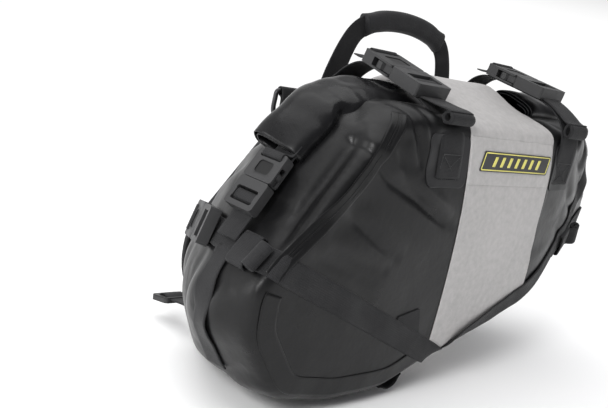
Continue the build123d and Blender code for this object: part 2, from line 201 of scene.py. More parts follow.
def settle(piece, slot, body, *nodes):
    """Give a piece its body and hide the CAD nodes that it stands for; slot is not used."""
    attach(piece, body)
    if nodes:
        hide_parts(*nodes)


def apply_modifiers(piece):
    """Replace a piece's mesh by its evaluated one."""
    evaluated = piece.evaluated_get(bpy.context.evaluated_depsgraph_get())
    mesh = bpy.data.meshes.new_from_object(evaluated)
    piece.modifiers.clear()
    piece.data = mesh
    return piece


def modify(piece, kind, **settings):
    """Add one modifier to a piece and apply it."""
    modifier = piece.modifiers.new(kind.lower(), kind)
    for key, value in settings.items():
        setattr(modifier, key, value)
    return apply_modifiers(piece)


def solidify(piece, thickness, offset):
    """Give a sheet its thickness in millimetres: offset -1 goes inwards, 1 outwards."""
    return modify(piece, "SOLIDIFY", thickness=thickness * MM, offset=offset)


def mesh_points(piece):
    """Points and vertex normals of a mesh, in millimetres."""
    mesh = piece.data
    points = np.zeros(len(mesh.vertices) * 3, np.float32)
    mesh.vertices.foreach_get("co", points)
    normals = np.array([n.vector for n in mesh.vertex_normals], float)
    return points.reshape(-1, 3).astype(float) / MM, normals


def set_points(piece, points):
    """Move a mesh's points, given in millimetres."""
    piece.data.vertices.foreach_set("co", (points * MM).astype(np.float32).ravel())
    piece.data.update()


def store(piece, name, values):
    """Write a vector per point for the material to read."""
    attribute = piece.data.attributes.new(name, "FLOAT_VECTOR", "POINT")
    attribute.data.foreach_set("vector", np.asarray(values, np.float32).ravel())


# ---- materials ---------------------------------------------------------------------------
class Nodes:
    """Short calls for the node tree of a material, or of the world."""

    def __init__(self, name, kind="materials", shader="Principled BSDF"):
        self.owner = getattr(bpy.data, kind).new(name)
        self.owner.use_nodes = True
        self.tree = self.owner.node_tree
        self.shader = self.tree.nodes[shader]

    def add(self, kind, inputs=None, **settings):
        node = self.tree.nodes.new(kind)
        for key, value in settings.items():
            setattr(node, key, value)
        for key, value in (inputs or {}).items():
            self.feed(node, key, value)
        return node

    def feed(self, node, key, value):
        if isinstance(value, bpy.types.NodeSocket):
            self.tree.links.new(value, node.inputs[key])
        else:
            node.inputs[key].default_value = value

    def set(self, **sockets):
        for key, value in sockets.items():
            self.feed(self.shader, key.replace("_", " "), value)

    def place(self):
        return self.add("ShaderNodeTexCoord").outputs["Object"]

    def noise(self, scale, detail=3.0, rough=0.5):
        inputs = {"Scale": scale, "Detail": detail, "Roughness": rough, "Vector": self.place()}
        return self.add("ShaderNodeTexNoise", inputs).outputs["Fac"]

    def math(self, operation, a, b=0.0):
        return self.add("ShaderNodeMath", {0: a, 1: b}, operation=operation).outputs[0]

    def spread(self, value, low, high, from_low=0.3, from_high=0.7, ease="LINEAR"):
        inputs = {"Value": value, "From Min": from_low, "From Max": from_high,
                  "To Min": low, "To Max": high}
        made = self.add("ShaderNodeMapRange", inputs, interpolation_type=ease)
        return made.outputs["Result"]

    def mix(self, factor, first, second):
        inputs = {"Factor": factor}
        for index, colour in ((6, first), (7, second)):
            linked = isinstance(colour, bpy.types.NodeSocket)
            inputs[index] = colour if linked else (*colour, 1)
        return self.add("ShaderNodeMix", inputs, data_type="RGBA").outputs[2]

    def bump(self, height, distance, strength=1.0, under=None):
        """Bump with its height in millimetres."""
        inputs = {"Height": height, "Distance": distance * MM, "Strength": strength}
        if under is not None:
            inputs["Normal"] = under
        return self.add("ShaderNodeBump", inputs).outputs["Normal"]

    def waves(self, vector, axis, pitch):
        """Sine ridges across one axis of a vector in metres, pitch in millimetres, 0 to 1."""
        parts = self.add("ShaderNodeSeparateXYZ", {"Vector": vector})
        turned = self.math("MULTIPLY", parts.outputs[axis], 2 * math.pi / (pitch * MM))
        return self.spread(self.math("SINE", turned), 0, 1, -1, 1)


def coated_fabric(name, dark, light, rough, crumple, specular=0.21):
    """Reinforced vinyl: a faint scrim under a smooth coat, soft crumples and dull scuffs."""
    m = Nodes(name)
    cloud = m.noise(9, 4)
    fine = m.noise(160, 4, 0.6)
    colour = m.mix(m.spread(cloud, 0, 1), dark, light)
    m.set(Base_Color=m.mix(m.spread(fine, 0.0, 0.22), colour, [c * 1.8 for c in light]))
    m.set(Roughness=m.spread(m.noise(26, 5, 0.65), rough - 0.05, rough + 0.09))
    scrim = m.math("MULTIPLY", m.waves(m.place(), 0, 1.5), m.waves(m.place(), 2, 1.5))
    normal = m.bump(scrim, 0.035, 0.5)
    normal = m.bump(m.noise(1100, 2), 0.03, 0.5, normal)
    normal = m.bump(m.noise(38, 3, 0.55), crumple, 0.6, normal)
    m.set(Normal=normal, Specular_IOR_Level=specular)
    return m.owner


def webbing(name, dark, light):
    """Woven webbing from its own across and along coordinates."""
    m = Nodes(name)
    weave = m.add("ShaderNodeAttribute", attribute_name="weave").outputs["Vector"]
    rows = m.waves(weave, 1, 1.25)
    ribs = m.waves(weave, 0, 1.9)
    height = m.math("MAXIMUM", m.math("MULTIPLY", rows, 0.8), m.math("MULTIPLY", ribs, 0.7))
    thread = m.noise(700, 2)
    # colour follows the weave's height: painted shade in the hollows between threads and painted
    # highlight on the raised rows; the thread noise is the yarn's own uneven tone
    m.set(Base_Color=m.mix(m.math("MULTIPLY", height, m.spread(thread, 0.4, 1.0)), dark, light))
    normal = m.bump(height, 0.35, 0.7)
    m.set(Normal=m.bump(thread, 0.12, 0.5, normal))
    m.set(Roughness=m.spread(m.noise(40), 0.62, 0.8))
    m.set(Sheen_Weight=0.06, Sheen_Roughness=0.4, Specular_IOR_Level=0.28)
    return m.owner


def stitching(name):
    """Bonded nylon thread."""
    m = Nodes(name)
    m.set(Base_Color=m.mix(m.noise(500), (0.012, 0.012, 0.013), (0.05, 0.05, 0.052)))
    m.set(Roughness=m.spread(m.noise(900), 0.4, 0.6), Normal=m.bump(m.noise(2500), 0.05))
    return m.owner


def moulded_plastic(name):
    """Acetal buckle plastic: fine spark texture, a little polish on worn edges."""
    m = Nodes(name)
    point = m.add("ShaderNodeNewGeometry").outputs["Pointiness"]
    edge = m.spread(point, 0, 1, 0.5, 0.56)
    base = m.mix(m.noise(60), (0.005, 0.005, 0.0053), (0.009, 0.009, 0.0093))
    m.set(Base_Color=m.mix(m.math("MULTIPLY", edge, 0.4), base, (0.07, 0.07, 0.072)))
    m.set(Roughness=m.spread(m.noise(90, 4), 0.36, 0.5))
    m.set(Normal=m.bump(m.noise(1500, 2), 0.05, 0.5), Specular_IOR_Level=0.26)
    return m.owner


def metal(name, colour, rough, metallic):
    """Painted or plated wire and rivets, with fine scratches."""
    m = Nodes(name)
    m.set(Base_Color=m.mix(m.noise(45), colour, [c * 1.5 for c in colour]))
    m.set(Roughness=m.spread(m.noise(120, 4), rough - 0.06, rough + 0.1))
    m.set(Metallic=metallic, Normal=m.bump(m.noise(900, 3), 0.03, 0.5))
    return m.owner


def rubber_panel(name):
    """Dull heat-resistant panel with a fine pebbled face and chalky scuffs."""
    m = Nodes(name)
    scuff = m.spread(m.noise(14, 6, 0.7), 0, 0.6, 0.5, 0.75)
    base = m.mix(m.noise(5), (0.03, 0.03, 0.031), (0.045, 0.044, 0.043))
    m.set(Base_Color=m.mix(scuff, base, (0.075, 0.074, 0.072)))
    m.set(Roughness=m.spread(m.noise(30, 4), 0.55, 0.75))
    normal = m.bump(m.noise(750, 3), 0.12, 0.5)
    m.set(Normal=m.bump(m.noise(20, 3), 0.8, 0.4, normal))
    return m.owner


def hook_and_loop(name):
    """Looped pile."""
    m = Nodes(name)
    pile = m.noise(650, 4, 0.7)
    m.set(Base_Color=m.mix(m.spread(pile, 0, 1), (0.008, 0.008, 0.008), (0.04, 0.04, 0.042)))
    m.set(Roughness=m.spread(pile, 0.8, 0.95), Sheen_Weight=0.5)
    m.set(Normal=m.bump(pile, 0.6, 0.9))
    return m.owner


def printed(name, colour):
    """Screen print on vinyl."""
    m = Nodes(name)
    m.set(Base_Color=m.mix(m.noise(80, 4), colour, [c * 0.8 for c in colour]))
    m.set(Roughness=m.spread(m.noise(60), 0.38, 0.5), Normal=m.bump(m.noise(900), 0.03))
    return m.owner


BLACK = coated_fabric("coated_fabric", (0.004, 0.004, 0.0043), (0.007, 0.007, 0.0073), 0.31, 1.0)
ROLLED = coated_fabric("rolled_fabric", (0.004, 0.004, 0.0045), (0.007, 0.007, 0.0075), 0.27, 1.2)
GREY = coated_fabric("band_fabric", (0.35, 0.341, 0.336), (0.40, 0.389, 0.384), 0.42, 0.4, 0.4)
PATCH = coated_fabric("patch_fabric", (0.010, 0.010, 0.011), (0.017, 0.017, 0.018), 0.42, 0.3)
PIPING = coated_fabric("piping", (0.012, 0.012, 0.013), (0.022, 0.022, 0.023), 0.44, 0.5)
WEBBING = webbing("webbing", (0.004, 0.004, 0.005), (0.022, 0.022, 0.023))
GRIP = webbing("grip_wrap", (0.008, 0.008, 0.009), (0.028, 0.028, 0.030))
THREAD = stitching("thread")
PLASTIC = moulded_plastic("moulded_plastic")
RING_METAL = metal("ring_metal", (0.035, 0.035, 0.037), 0.34, 0.75)
RIVET_METAL = metal("rivet_metal", (0.16, 0.16, 0.165), 0.3, 1.0)
HEAT = rubber_panel("heat_panel")
PILE = hook_and_loop("hook_and_loop")
BADGE_DARK = printed("badge_ground", (0.02, 0.02, 0.022))
BADGE_LIGHT = printed("badge_lines", (0.78, 0.72, 0.18))


# ---- bag body ----------------------------------------------------------------------------
BODY_CORNERS = (    # ((x, z), radius) round the side outline
    ((-188, FOLD + 8), 34), ((END_LEFT + 3, -12), 36), ((END_LEFT + 7, -58), 50),
    ((-268, LOW + 12), 50), ((-200, LOW), 80), ((-118, LOW), 90),
    ((END_RIGHT - 10, 18), 36), ((END_RIGHT - 1, 55), 28), ((196, FOLD + 12), 34),
)
PROFILE_Y = (-180, -174, -158, -140, -120, -104, -88, -70, -42, -16, -4)
BULGE = {   # how far the gusset stands out of the side outline at each PROFILE_Y
    "cinched": (0, 0, 0.5, 0.5, 0.5, 0.3, 0.3, 0.3, 0.3, 0, 0),
    "gusset": (0, 1, 3, 4.5, 5.5, 6, 6, 5, 4, 1.5, 0),
    "left_neck": (0, 2, 4, 8, 12, 14, 13, 10, 6, 2, 0),
    "left_roof": (0, 3, 8, 8, -2, -8, -8, -6, 0, 2, 0),
    "band": (-6, 2, 6, 10, 18, 27, 34, 33, 22, 6, -2),
    "right_roof": (-4, 2, 10, 12, 6, 2, 2, 3, 4, 2, -2),
    "right_neck": (2, 9, 17, 20, 16, 12, 11, 8, 5, 2, 0),
    "right_cinched": (0, 6, 12, 13, 8, 1, 0.3, 0.3, 0.3, 0, 0),
}
EDGE_RADIUS = 9


def plane_out(place, first, second):
    """Normal of the plane through three points."""
    return unit(np.cross(np.array(first) - place, np.array(second) - place))


# three planes cut the left end back where it slopes in: each has a point and a normal
SLOPE_AT = np.array([END_LEFT, -100.0, -60.0])
SLOPE_OUT = plane_out(SLOPE_AT, (-217, BACK, 95), (-264, BACK, -60))
SLOPE_BACK = unit(np.array([0, 1, 0]) - SLOPE_OUT * SLOPE_OUT[1])
SLOPE_STRAP = np.array([-300.4, -100.2, 11.6])      # where the strap turns onto the slope
CORNER_AT = np.array([-253, BACK, -51])
CORNER_OUT = plane_out(CORNER_AT, (-227, BACK, -118), (-312, -100, -70))
NECK_AT = np.array([-194, BACK, 60])
NECK_OUT = plane_out(NECK_AT, (-246, BACK, -4), (-292, -100, 58))
CUT_SOFTNESS = 5.0                                  # how gently a cut begins
SLOPE_SWELL = 5.0                                   # how far the slope swells beside its strap


def slope_cut(points):
    """Press points back behind the planes of the sloping end."""
    off = points - SLOPE_STRAP
    across = np.linalg.norm(off - (off @ SLOPE_BACK)[:, None] * SLOPE_BACK, axis=1)
    swell = SLOPE_SWELL * smoothstep((across - 22) / 45)
    for place, out, spare in ((SLOPE_AT, SLOPE_OUT, swell - 2.0), (CORNER_AT, CORNER_OUT, 1.0),
                              (NECK_AT, NECK_OUT, 2.0)):
        over = ((points - place) @ out - spare) / CUT_SOFTNESS
        points = points - out * (CUT_SOFTNESS * np.logaddexp(0, over))[:, None]
    return points


def front_at(x):
    """Depth share of the bag at x: the front narrows past TAPER_X."""
    t = (np.asarray(x, float) - TAPER_X) / (END_RIGHT - TAPER_X)
    eased = np.where(t > 0.12, t, (np.maximum(t + 0.12, 0) ** 2) / 0.48)
    return 1 - np.where(t < -0.12, 0, eased) * TAPER / (BACK - FRONT)


def bulge_table(outline):
    """Bulge profile for each outline point, blended between the named stretches."""
    def nearest(x, z):
        return int(np.argmin(np.hypot(outline[:, 0] - x, outline[:, 1] - z)))
    stations = (
        ((END_LEFT, -60), "gusset"), ((-314, 0), "cinched"), ((-284, 28), "cinched"),
        ((-252, 66), "left_neck"), ((-200, 126), "left_neck"), ((-165, FOLD + 8), "left_roof"),
        ((-92, FOLD + 8), "left_roof"), ((-72, FOLD + 8), "band"), ((72, FOLD + 8), "band"),
        ((92, FOLD + 8), "right_roof"), ((180, FOLD + 10), "right_roof"),
        ((225, 122), "right_neck"), ((262, 86), "right_neck"), ((288, 62), "right_cinched"),
        ((END_RIGHT, 30), "right_cinched"), ((250, 8), "gusset"),
        ((100, -50), "gusset"), ((-200, LOW), "gusset"),
    )
    count = len(outline)
    marks = sorted((nearest(*at), BULGE[kind]) for at, kind in stations)
    index = np.array([marks[-1][0] - count] + [m for m, _ in marks] + [marks[0][0] + count])
    rows = np.array([marks[-1][1]] + [r for _, r in marks] + [marks[0][1]], float)
    table = np.empty((count, len(PROFILE_Y)))
    for i in range(count):
        k = np.searchsorted(index, i, side="right") - 1
        t = smoothstep((i - index[k]) / max(index[k + 1] - index[k], 1))
        table[i] = rows[k] * (1 - t) + rows[k + 1] * t
    return table


def body_surface():
    """Points and faces of the stuffed bag as one closed form."""
    outline = rounded_outline(BODY_CORNERS, 4.0)
    normals = outline_normals(outline)
    table = bulge_table(outline)
    centre = np.array([-40.0, 10.0])
    inner = outline - normals * EDGE_RADIUS
    rows = []

    def add_row(flat, y):
        y = np.broadcast_to(np.asarray(y, float), (len(flat),))
        y = BACK + (y - BACK) * front_at(flat[:, 0])
        rows.append(np.stack([flat[:, 0], y, flat[:, 1]], 1))

    for share in (0.03, 0.2, 0.4, 0.6, 0.75, 0.88, 0.97):
        add_row(centre + (inner - centre) * share, FRONT - 3.0 * (1 - share ** 3))
    rim = [(inner + normals * EDGE_RADIUS * math.sin(angle), EDGE_RADIUS * (1 - math.cos(angle)))
           for angle in np.radians((0, 25, 50, 75))]
    for flat, deep in rim:
        add_row(flat, FRONT + deep)
    for y in np.linspace(FRONT + EDGE_RADIUS, BACK - EDGE_RADIUS, 36):
        out = np.array([np.interp(y, PROFILE_Y, row) for row in table])
        add_row(outline + normals * out[:, None], y)
    for flat, deep in rim[::-1]:
        add_row(flat, BACK - deep)
    for share in (0.97, 0.75, 0.4, 0.03):
        add_row(centre + (inner - centre) * share, BACK)
    return slope_cut(np.vstack(rows)), tube_faces(len(rows), len(outline))


def segment_distance(points, start, end):
    """Distance to a segment, and how far along it the nearest point lies."""
    start, end = np.array(start, float), np.array(end, float)
    run = end - start
    t = np.clip((points - start) @ run / (run @ run), 0, 1)
    return np.linalg.norm(points - (start + t[:, None] * run), axis=1), t


def nearest_on_line(points, line):
    """Each point's distance to a polyline, its share along it and its nearest segment."""
    best = np.full(len(points), 1e9)
    share, segment = np.zeros(len(points)), np.zeros(len(points), int)
    count = len(line) - 1
    for i in range(count):
        distance, t = segment_distance(points, line[i], line[i + 1])
        nearer = distance < best
        best[nearer] = distance[nearer]
        share[nearer] = ((i + t) / count)[nearer]
        segment[nearer] = i
    return best, share, segment


def crease(points, normals, line, deep, width):
    """A valley with a soft ridge each side, fading at both ends of its line."""
    best, share, _ = nearest_on_line(points, line)
    fade = np.sin(math.pi * np.clip(share, 0.03, 0.97)) ** 0.6
    moved = deep * np.exp(-(best / width) ** 1.4)
    moved -= 0.16 * deep * np.exp(-((best - 2.2 * width) / (0.9 * width)) ** 2)
    return points - normals * (moved * fade)[:, None]


def fold(points, normals, tree, line, deep, width):
    """A pleat along a line laid on the surface: a sharp valley beside a broad soft ridge."""
    laid = np.array([tree.find_nearest(Vector(p))[0] for p in resample(line, 6.0)])
    middle = laid.mean(0)
    reach = np.linalg.norm(laid - middle, axis=1).max() + 8 * width
    near = np.linalg.norm(points - middle, axis=1) < reach
    best, share, segment = nearest_on_line(points[near], laid)
    side = np.cross((laid[1:] - laid[:-1])[segment], points[near] - laid[segment])
    signed = best * np.sign(np.einsum("ij,ij->i", side, normals[near]))
    fade = np.sin(math.pi * np.clip(share, 0, 1)) ** 0.7
    moved = -deep * np.exp(-(signed / width) ** 2)
    moved += 0.75 * deep * np.exp(-((signed - 2.4 * width) / (1.9 * width)) ** 2)
    points = points.copy()
    points[near] += normals[near] * (moved * fade)[:, None]
    return points


def waviness(points, scale, seed):
    """Smooth pseudo-noise between -1 and 1 from a few fixed waves."""
    rng = np.random.default_rng(seed)
    total = np.zeros(len(points))
    for _ in range(7):
        wave = unit(rng.normal(size=3)) * 2 * math.pi / (scale * rng.uniform(0.7, 1.5))
        total += np.sin(points @ wave + rng.uniform(0, 2 * math.pi))
    return total / 3.0


CLOTH = {"quality": 5, "mass": 0.25, "tension_stiffness": 30, "compression_stiffness": 30,
         "shear_stiffness": 12, "bending_stiffness": 1.2, "use_pressure": True,
         "uniform_pressure_force": 3.0, "vertex_group_mass": "pins"}
CLOTH_FRAMES = 20
CLOTH_CAP = 6.0         # the most that a point may move


def inflate(piece, pins):
    """Blow a closed mesh up a little as cloth, held where pins is 1."""
    rest, _ = mesh_points(piece)
    group = piece.vertex_groups.new(name="pins")
    group.add([int(i) for i in np.where(pins)[0]], 1.0, "REPLACE")
    cloth = piece.modifiers.new("cloth", "CLOTH")
    for key, value in CLOTH.items():
        setattr(cloth.settings, key, value)
    cloth.settings.effector_weights.gravity = 0
    cloth.point_cache.frame_start = 1
    cloth.point_cache.frame_end = CLOTH_FRAMES
    for number in range(1, CLOTH_FRAMES + 1):
        bpy.context.scene.frame_set(number)
    apply_modifiers(piece)
    bpy.context.scene.frame_set(1)
    shift = mesh_points(piece)[0] - rest
    length = np.linalg.norm(shift, axis=1, keepdims=True)
    shift *= np.minimum(1, CLOTH_CAP / np.maximum(length, 1e-6))
    set_points(piece, rest + shift)


F = FRONT       # short, for the lists of points
FOLDS = (   # (line, depth, width): pleats that run from the rolled mouths over the bag
    (((-226, -146, 114), (-206, -166, 98), (-190, F, 85), (-150, F, 69), (-78, F, 39)), 4.0, 4.5),
    (((-186, -168, 112), (-167, F, 86), (-132, F, 62), (-94, F, 42)), 2.8, 5),
    (((-238, -166, 62), (-222, F, 48), (-186, F, 26), (-150, F, 10)), 2.6, 5),
    (((-250, F, 24), (-206, F, 10), (-164, F, -2)), 2.4, 6),
    (((-200, -150, 122), (-222, -156, 98), (-250, -160, 68), (-276, -162, 40),
      (-296, -166, 14)), 5.0, 7),
    (((-270, -160, 20), (-254, F, 14), (-216, F, 2), (-176, F, -12)), 2.0, 6),
    (((-176, -142, 144), (-166, -168, 134), (-156, F, 116), (-150, F, 96)), 3.2, 5),
    (((-148, -142, 146), (-146, -168, 138), (-140, F, 118)), 2.2, 5),
    (((-206, F, -4), (-180, F, -40), (-140, F, -66)), 1.4, 12),
    (((-240, -128, 106), (-228, -112, 112), (-214, -100, 124)), 3.0, 6),
    (((-262, -60, 70), (-250, -34, 60), (-236, -6, 40)), 2.2, 6),
    (((-240, -66, 100), (-226, -36, 88), (-206, -6, 70)), 2.6, 6),
    (((-208, -66, 128), (-196, -34, 118), (-182, -6, 92)), 2.6, 6),
    (((-170, -60, 132), (-160, -30, 134), (-150, -5, 104)), 2.2, 6),
    (((-312, -140, -14), (-316, -120, -44), (-306, -104, -70)), 2.4, 7),
    (((-296, -92, -8), (-292, -84, -46), (-276, -76, -84)), 2.6, 7),
    (((-276, -50, -14), (-270, -44, -50), (-252, -40, -84)), 2.2, 7),
    (((-240, -166, LOW + 16), (-224, -120, LOW + 2), (-210, -80, LOW)), 2.2, 8),
    (((-290, -160, -88), (-276, -130, -104), (-262, -104, -112)), 2.4, 7),
    (((150, -140, 150), (156, -160, 150), (160, -174, 126)), 3.0, 6),
    (((190, -136, 148), (196, -150, 142), (200, -166, 118), (204, -160, 92)), 2.8, 6),
    (((232, -124, 124), (236, -140, 112), (238, -150, 86), (226, -158, 60)), 2.8, 6),
    (((262, -110, 96), (268, -126, 84), (266, -140, 62)), 3.5, 6),
    (((180, -60, 150), (186, -30, 142), (190, -6, 118)), 2.4, 6),
    (((232, -60, 124), (236, -30, 112), (234, -6, 88)), 2.4, 6),
    (((296, -120, 40), (300, -90, 20), (290, -60, 6)), 2.5, 8),
    (((146, F, 96), (176, F + 12, 66), (214, F + 22, 50)), 2.4, 6),
    (((150, F, 40), (178, F + 12, 24), (200, F + 20, -2)), 1.8, 8),
    (((170, F + 8, 120), (206, F + 18, 104), (238, F + 30, 74)), 2.4, 6),
)


BODY_VOXEL = 5.0


def surface_tree(piece):
    """A search tree of a piece's faces, in millimetres."""
    return BVHTree.FromPolygons([tuple(p) for p in mesh_points(piece)[0]],
                                [tuple(f.vertices) for f in piece.data.polygons])


def held_points(piece):
    """1 at the back, round the front face's edge and under the strap, 0 elsewhere."""
    points, normals = mesh_points(piece)
    depth = points[:, 1] - (BACK + (FRONT - BACK) * front_at(points[:, 0]))
    at_edge = (np.abs(depth) < 9) & (points[:, 1] < FRONT + 60) & (np.abs(normals[:, 1]) < 0.9)
    under_strap = segment_distance(points, (-45, FRONT, -101), (-297, FRONT, 7))[0] < 14
    return ((points[:, 1] > BACK - 10) | at_edge | under_strap).astype(float)


def make_body():
    """The stuffed bag: form, cloth, then pleats. It is cut into its three fabrics later."""
    piece = make_piece("body", *body_surface(), BLACK)
    modify(piece, "REMESH", mode="VOXEL", voxel_size=BODY_VOXEL * MM, use_smooth_shade=True)
    modify(piece, "SMOOTH", iterations=6, factor=0.5)
    inflate(piece, held_points(piece))
    modify(piece, "SUBSURF", levels=1, render_levels=1)
    points, normals = mesh_points(piece)
    tree = surface_tree(piece)
    for line, deep, width in FOLDS:
        points = fold(points, normals, tree, line, deep, width)
    puff = waviness(points, 110, 3) * 0.7 + waviness(points, 46, 5) * 0.12
    calm = np.clip((FOLD + 20 - points[:, 2]) / 60, 0.25, 1)
    band = (points[:, 0] > -70) & (points[:, 0] < 90)
    puff = puff * np.where(band, 0.3, 1.0) * calm
    points = points + normals * puff[:, None]
    points[:, 1] = np.minimum(points[:, 1], BACK - 0.4)
    set_points(piece, points)
    return piece


BACK_RIM = 6.0          # how far the band stops short of the back face


def cut_x(z, edge):
    """X of a band edge at height z: vertical above the fold."""
    (x0, z0), (x1, z1) = edge
    t = np.clip((z - z0) / (z1 - z0), 0, 1.2)
    return x0 + (x1 - x0) * t


def split_body(piece):
    """Cut the body along the band's two edges into left, band and right meshes."""
    work = bmesh.new()
    work.from_mesh(piece.data)
    cuts = []
    for (x0, z0), (x1, z1) in (BAND_LEFT, BAND_RIGHT):
        cuts += [((x0, 0, z0), (z1 - z0, 0, x0 - x1)), ((x0, 0, z0), (1, 0, 0))]
    cuts.append(((0, BACK - BACK_RIM, 0), (0, 1, 0)))
    for point, normal in cuts:
        geometry = work.verts[:] + work.edges[:] + work.faces[:]
        bmesh.ops.bisect_plane(work, geom=geometry, plane_co=Vector(point) * MM,
                               plane_no=Vector(normal).normalized(), dist=1e-6)
    work.verts.ensure_lookup_table()
    points = np.array([v.co for v in work.verts]) / MM
    groups = {"left": [], "band": [], "right": []}
    for face in work.faces:
        x, y, z = np.mean([points[v.index] for v in face.verts], 0)
        if x > cut_x(z, BAND_RIGHT):
            side = "right"
        elif x < cut_x(z, BAND_LEFT) or y > BACK - BACK_RIM:
            side = "left"
        else:
            side = "band"
        groups[side].append([v.index for v in face.verts])
    work.free()
    made = {}
    for side, faces in groups.items():
        used = sorted({i for face in faces for i in face})
        where = {old: new for new, old in enumerate(used)}
        made[side] = (points[used], [tuple(where[i] for i in face) for face in faces])
    return made


body = make_body()
body_tree = surface_tree(body)
fabrics = split_body(body)
bpy.data.objects.remove(body)
for side, label, material, thickness, offset, slot, node in (
        ("left", "left_end", BLACK, 1.2, -1, "coated_fabric", "left_end_shell"),
        ("right", "right_end", BLACK, 1.2, -1, "coated_fabric", "right_end_shell"),
        ("band", "centre_band", GREY, 1.0, 1, "band_fabric", "centre_band_shell")):
    fabric = make_piece(f"{label}_fabric", *fabrics[side], material)
    settle(solidify(fabric, thickness, offset), slot, "bag", node)


# ---- laying things on the body -----------------------------------------------------------
def on_body(points, gap):
    """Nearest points on the bag, lifted by gap, with the bag's normals there."""
    found = [body_tree.find_nearest(Vector(p)) for p in points]
    normals = np.array([normal for _, normal, _, _ in found])
    return np.array([spot for spot, _, _, _ in found]) + normals * gap, normals


def front_hit(x, z, gap):
    """Point on the outer face straight behind (x, z), and the face's normal."""
    spot, normal, _, _ = body_tree.ray_cast(Vector((x, FRONT - 80, z)), Vector((0, 1, 0)))
    if spot is None:
        spot, normal, _, _ = body_tree.find_nearest(Vector((x, FRONT, z)))
    return np.array(spot) + np.array(normal) * gap, np.array(normal)


def smooth_rows(rows, rounds):
    """Even out a list of vectors, its ends kept."""
    rows = np.array(rows, float)
    for _ in range(rounds):
        rows[1:-1] = rows[1:-1] * 0.5 + (rows[:-2] + rows[2:]) * 0.25
    return rows


def ribbon(name, path, normals, width, material, thick=WEB, taper_to=None):
    """A strap with rounded selvedges along a path, its flat side facing the normals."""
    path = np.asarray(path, float)
    along = direction(path)
    normals = np.broadcast_to(np.asarray(normals, float), path.shape)
    sides = unit(np.cross(along, normals))
    normals = unit(np.cross(sides, along))
    run = run_length(path)
    half = np.interp(run, (0, run[-1]), (width / 2, (taper_to or width) / 2))
    edge = thick / 2
    spots = [(t, 1) for t in np.linspace(-1, 1, 9)] + [(1, 0)]
    spots += [(t, -1) for t in np.linspace(1, -1, 9)] + [(-1, 0)]
    rows, weave = [], []
    for i, centre in enumerate(path):
        for share, face in spots:
            reach = half[i] - (edge * 0.8 if face else 0)
            rows.append(centre + sides[i] * share * reach + normals[i] * face * edge)
            weave.append((share * reach * MM, run[i] * MM, 0))
    made = make_piece(name, rows, tube_faces(len(path), len(spots)), material)
    store(made, "weave", weave)
    return made


def strap(name, spots, place, across, width, body_name, nodes=(), step=2.5, rounds=3, thick=WEB):
    """Webbing that turns in one plane, along spots that place() turns into points."""
    path = np.array([place(a, b) for a, b in rounded_path(spots, rounds, step)], float)
    made = ribbon(name, path, facing(path, across), width, WEBBING, thick)
    settle(made, "webbing", body_name, *nodes)


STITCH_PITCH, STITCH_HALF = 3.2, 0.38


def box_stitch(name, centre, across, normal, length, width):
    """A sewn box with a cross in it, upright, as a row of short raised stitches."""
    along, across, normal = np.array([0, 0, 1.0]), np.array(across, float), np.array(normal, float)
    a, b = length / 2, width / 2
    corners = ((-a, -b), (a, -b), (a, b), (-a, b), (-a, -b), (a, b), (a, -b), (-a, b))
    points, faces = [], []
    for (x0, y0), (x1, y1) in zip(corners[:-1], corners[1:]):
        run = math.hypot(x1 - x0, y1 - y0)
        line = along * (x1 - x0) + across * (y1 - y0)
        start = centre + along * x0 + across * y0
        side = unit(np.cross(line, normal)) * STITCH_HALF
        for step in range(int(run / STITCH_PITCH)):
            t0, t1 = (step * STITCH_PITCH + 0.4) / run, (step * STITCH_PITCH + 2.7) / run
            faces += [tuple(len(points) + n for n in face) for face in tube_faces(3, 4)]
            for t, lift in ((t0, 0.05), ((t0 + t1) / 2, 0.5), (t1, 0.05)):
                p = start + line * t
                points += [p - side, p + normal * (lift + 0.1), p + side, p - normal * 0.3]
    settle(make_piece(name, points, faces, THREAD), "webbing", "bag")


def patch(name, outline, thickness, material, slot, nodes=(),
          rings=(0.05, 0.3, 0.55, 0.75, 0.9, 0.97, 1)):
    """A thin plate with a soft rim laid on the outer face."""
    outline = np.asarray(outline, float)
    centre = outline.mean(0)
    layers = [(share, thickness) for share in rings] + [(1, thickness * 0.4)]
    layers += [(share, -0.6) for share in (1, 0.5, 0.05)]
    rows = [front_hit(x, z, gap)[0] for share, gap in layers
            for x, z in centre + (outline - centre) * share]
    made = make_piece(name, rows, tube_faces(len(layers), len(outline)), material)
    settle(made, slot, "bag", *nodes)


# ---- seams and patches on the outer face -------------------------------------------------
def face_tape(name, line, width, gap):
    """A flat tape welded along points on the bag."""
    placed, normals = on_body(rounded_path(line, 3, 3.0), gap)
    made = ribbon(name, smooth_rows(placed, 3), smooth_rows(normals, 4), width, BLACK, 0.7)
    settle(made, "coated_fabric", "bag")


SEAM_LINE = ((-304, F + 2, -2), (-298, F, 10), (-268, F, 38), (-240, F, 66), (-214, F, 96),
             (-200, F, 118), (-190, F + 2, 134), (-182, F + 12, 146))
face_tape("corner_weld_tape", SEAM_LINE, 15, 0.3)
for number, shift in enumerate((-3.4, 0, 3.4), 1):
    bead_line = [(x + shift * 0.74, y, z - shift * 0.67) for x, y, z in SEAM_LINE]
    face_tape(f"corner_weld_bead_{number}", bead_line, 1.3, 0.65)

outer = rounded_outline(BODY_CORNERS, 4.0)
inset = outer - outline_normals(outer) * 17
face_tape("lower_weld_tape", [(x, F, z) for x, z in inset if z < -14 and x < -66], 19, 0.25)


def cornered(corners, radius, step):
    """A closed outline with the same radius at every corner."""
    return rounded_outline([(corner, radius) for corner in corners], step)


def rectangle(x0, x1, z0, z1, radius):
    return cornered(((x0, z1), (x0, z0), (x1, z0), (x1, z1)), radius, 2.5)


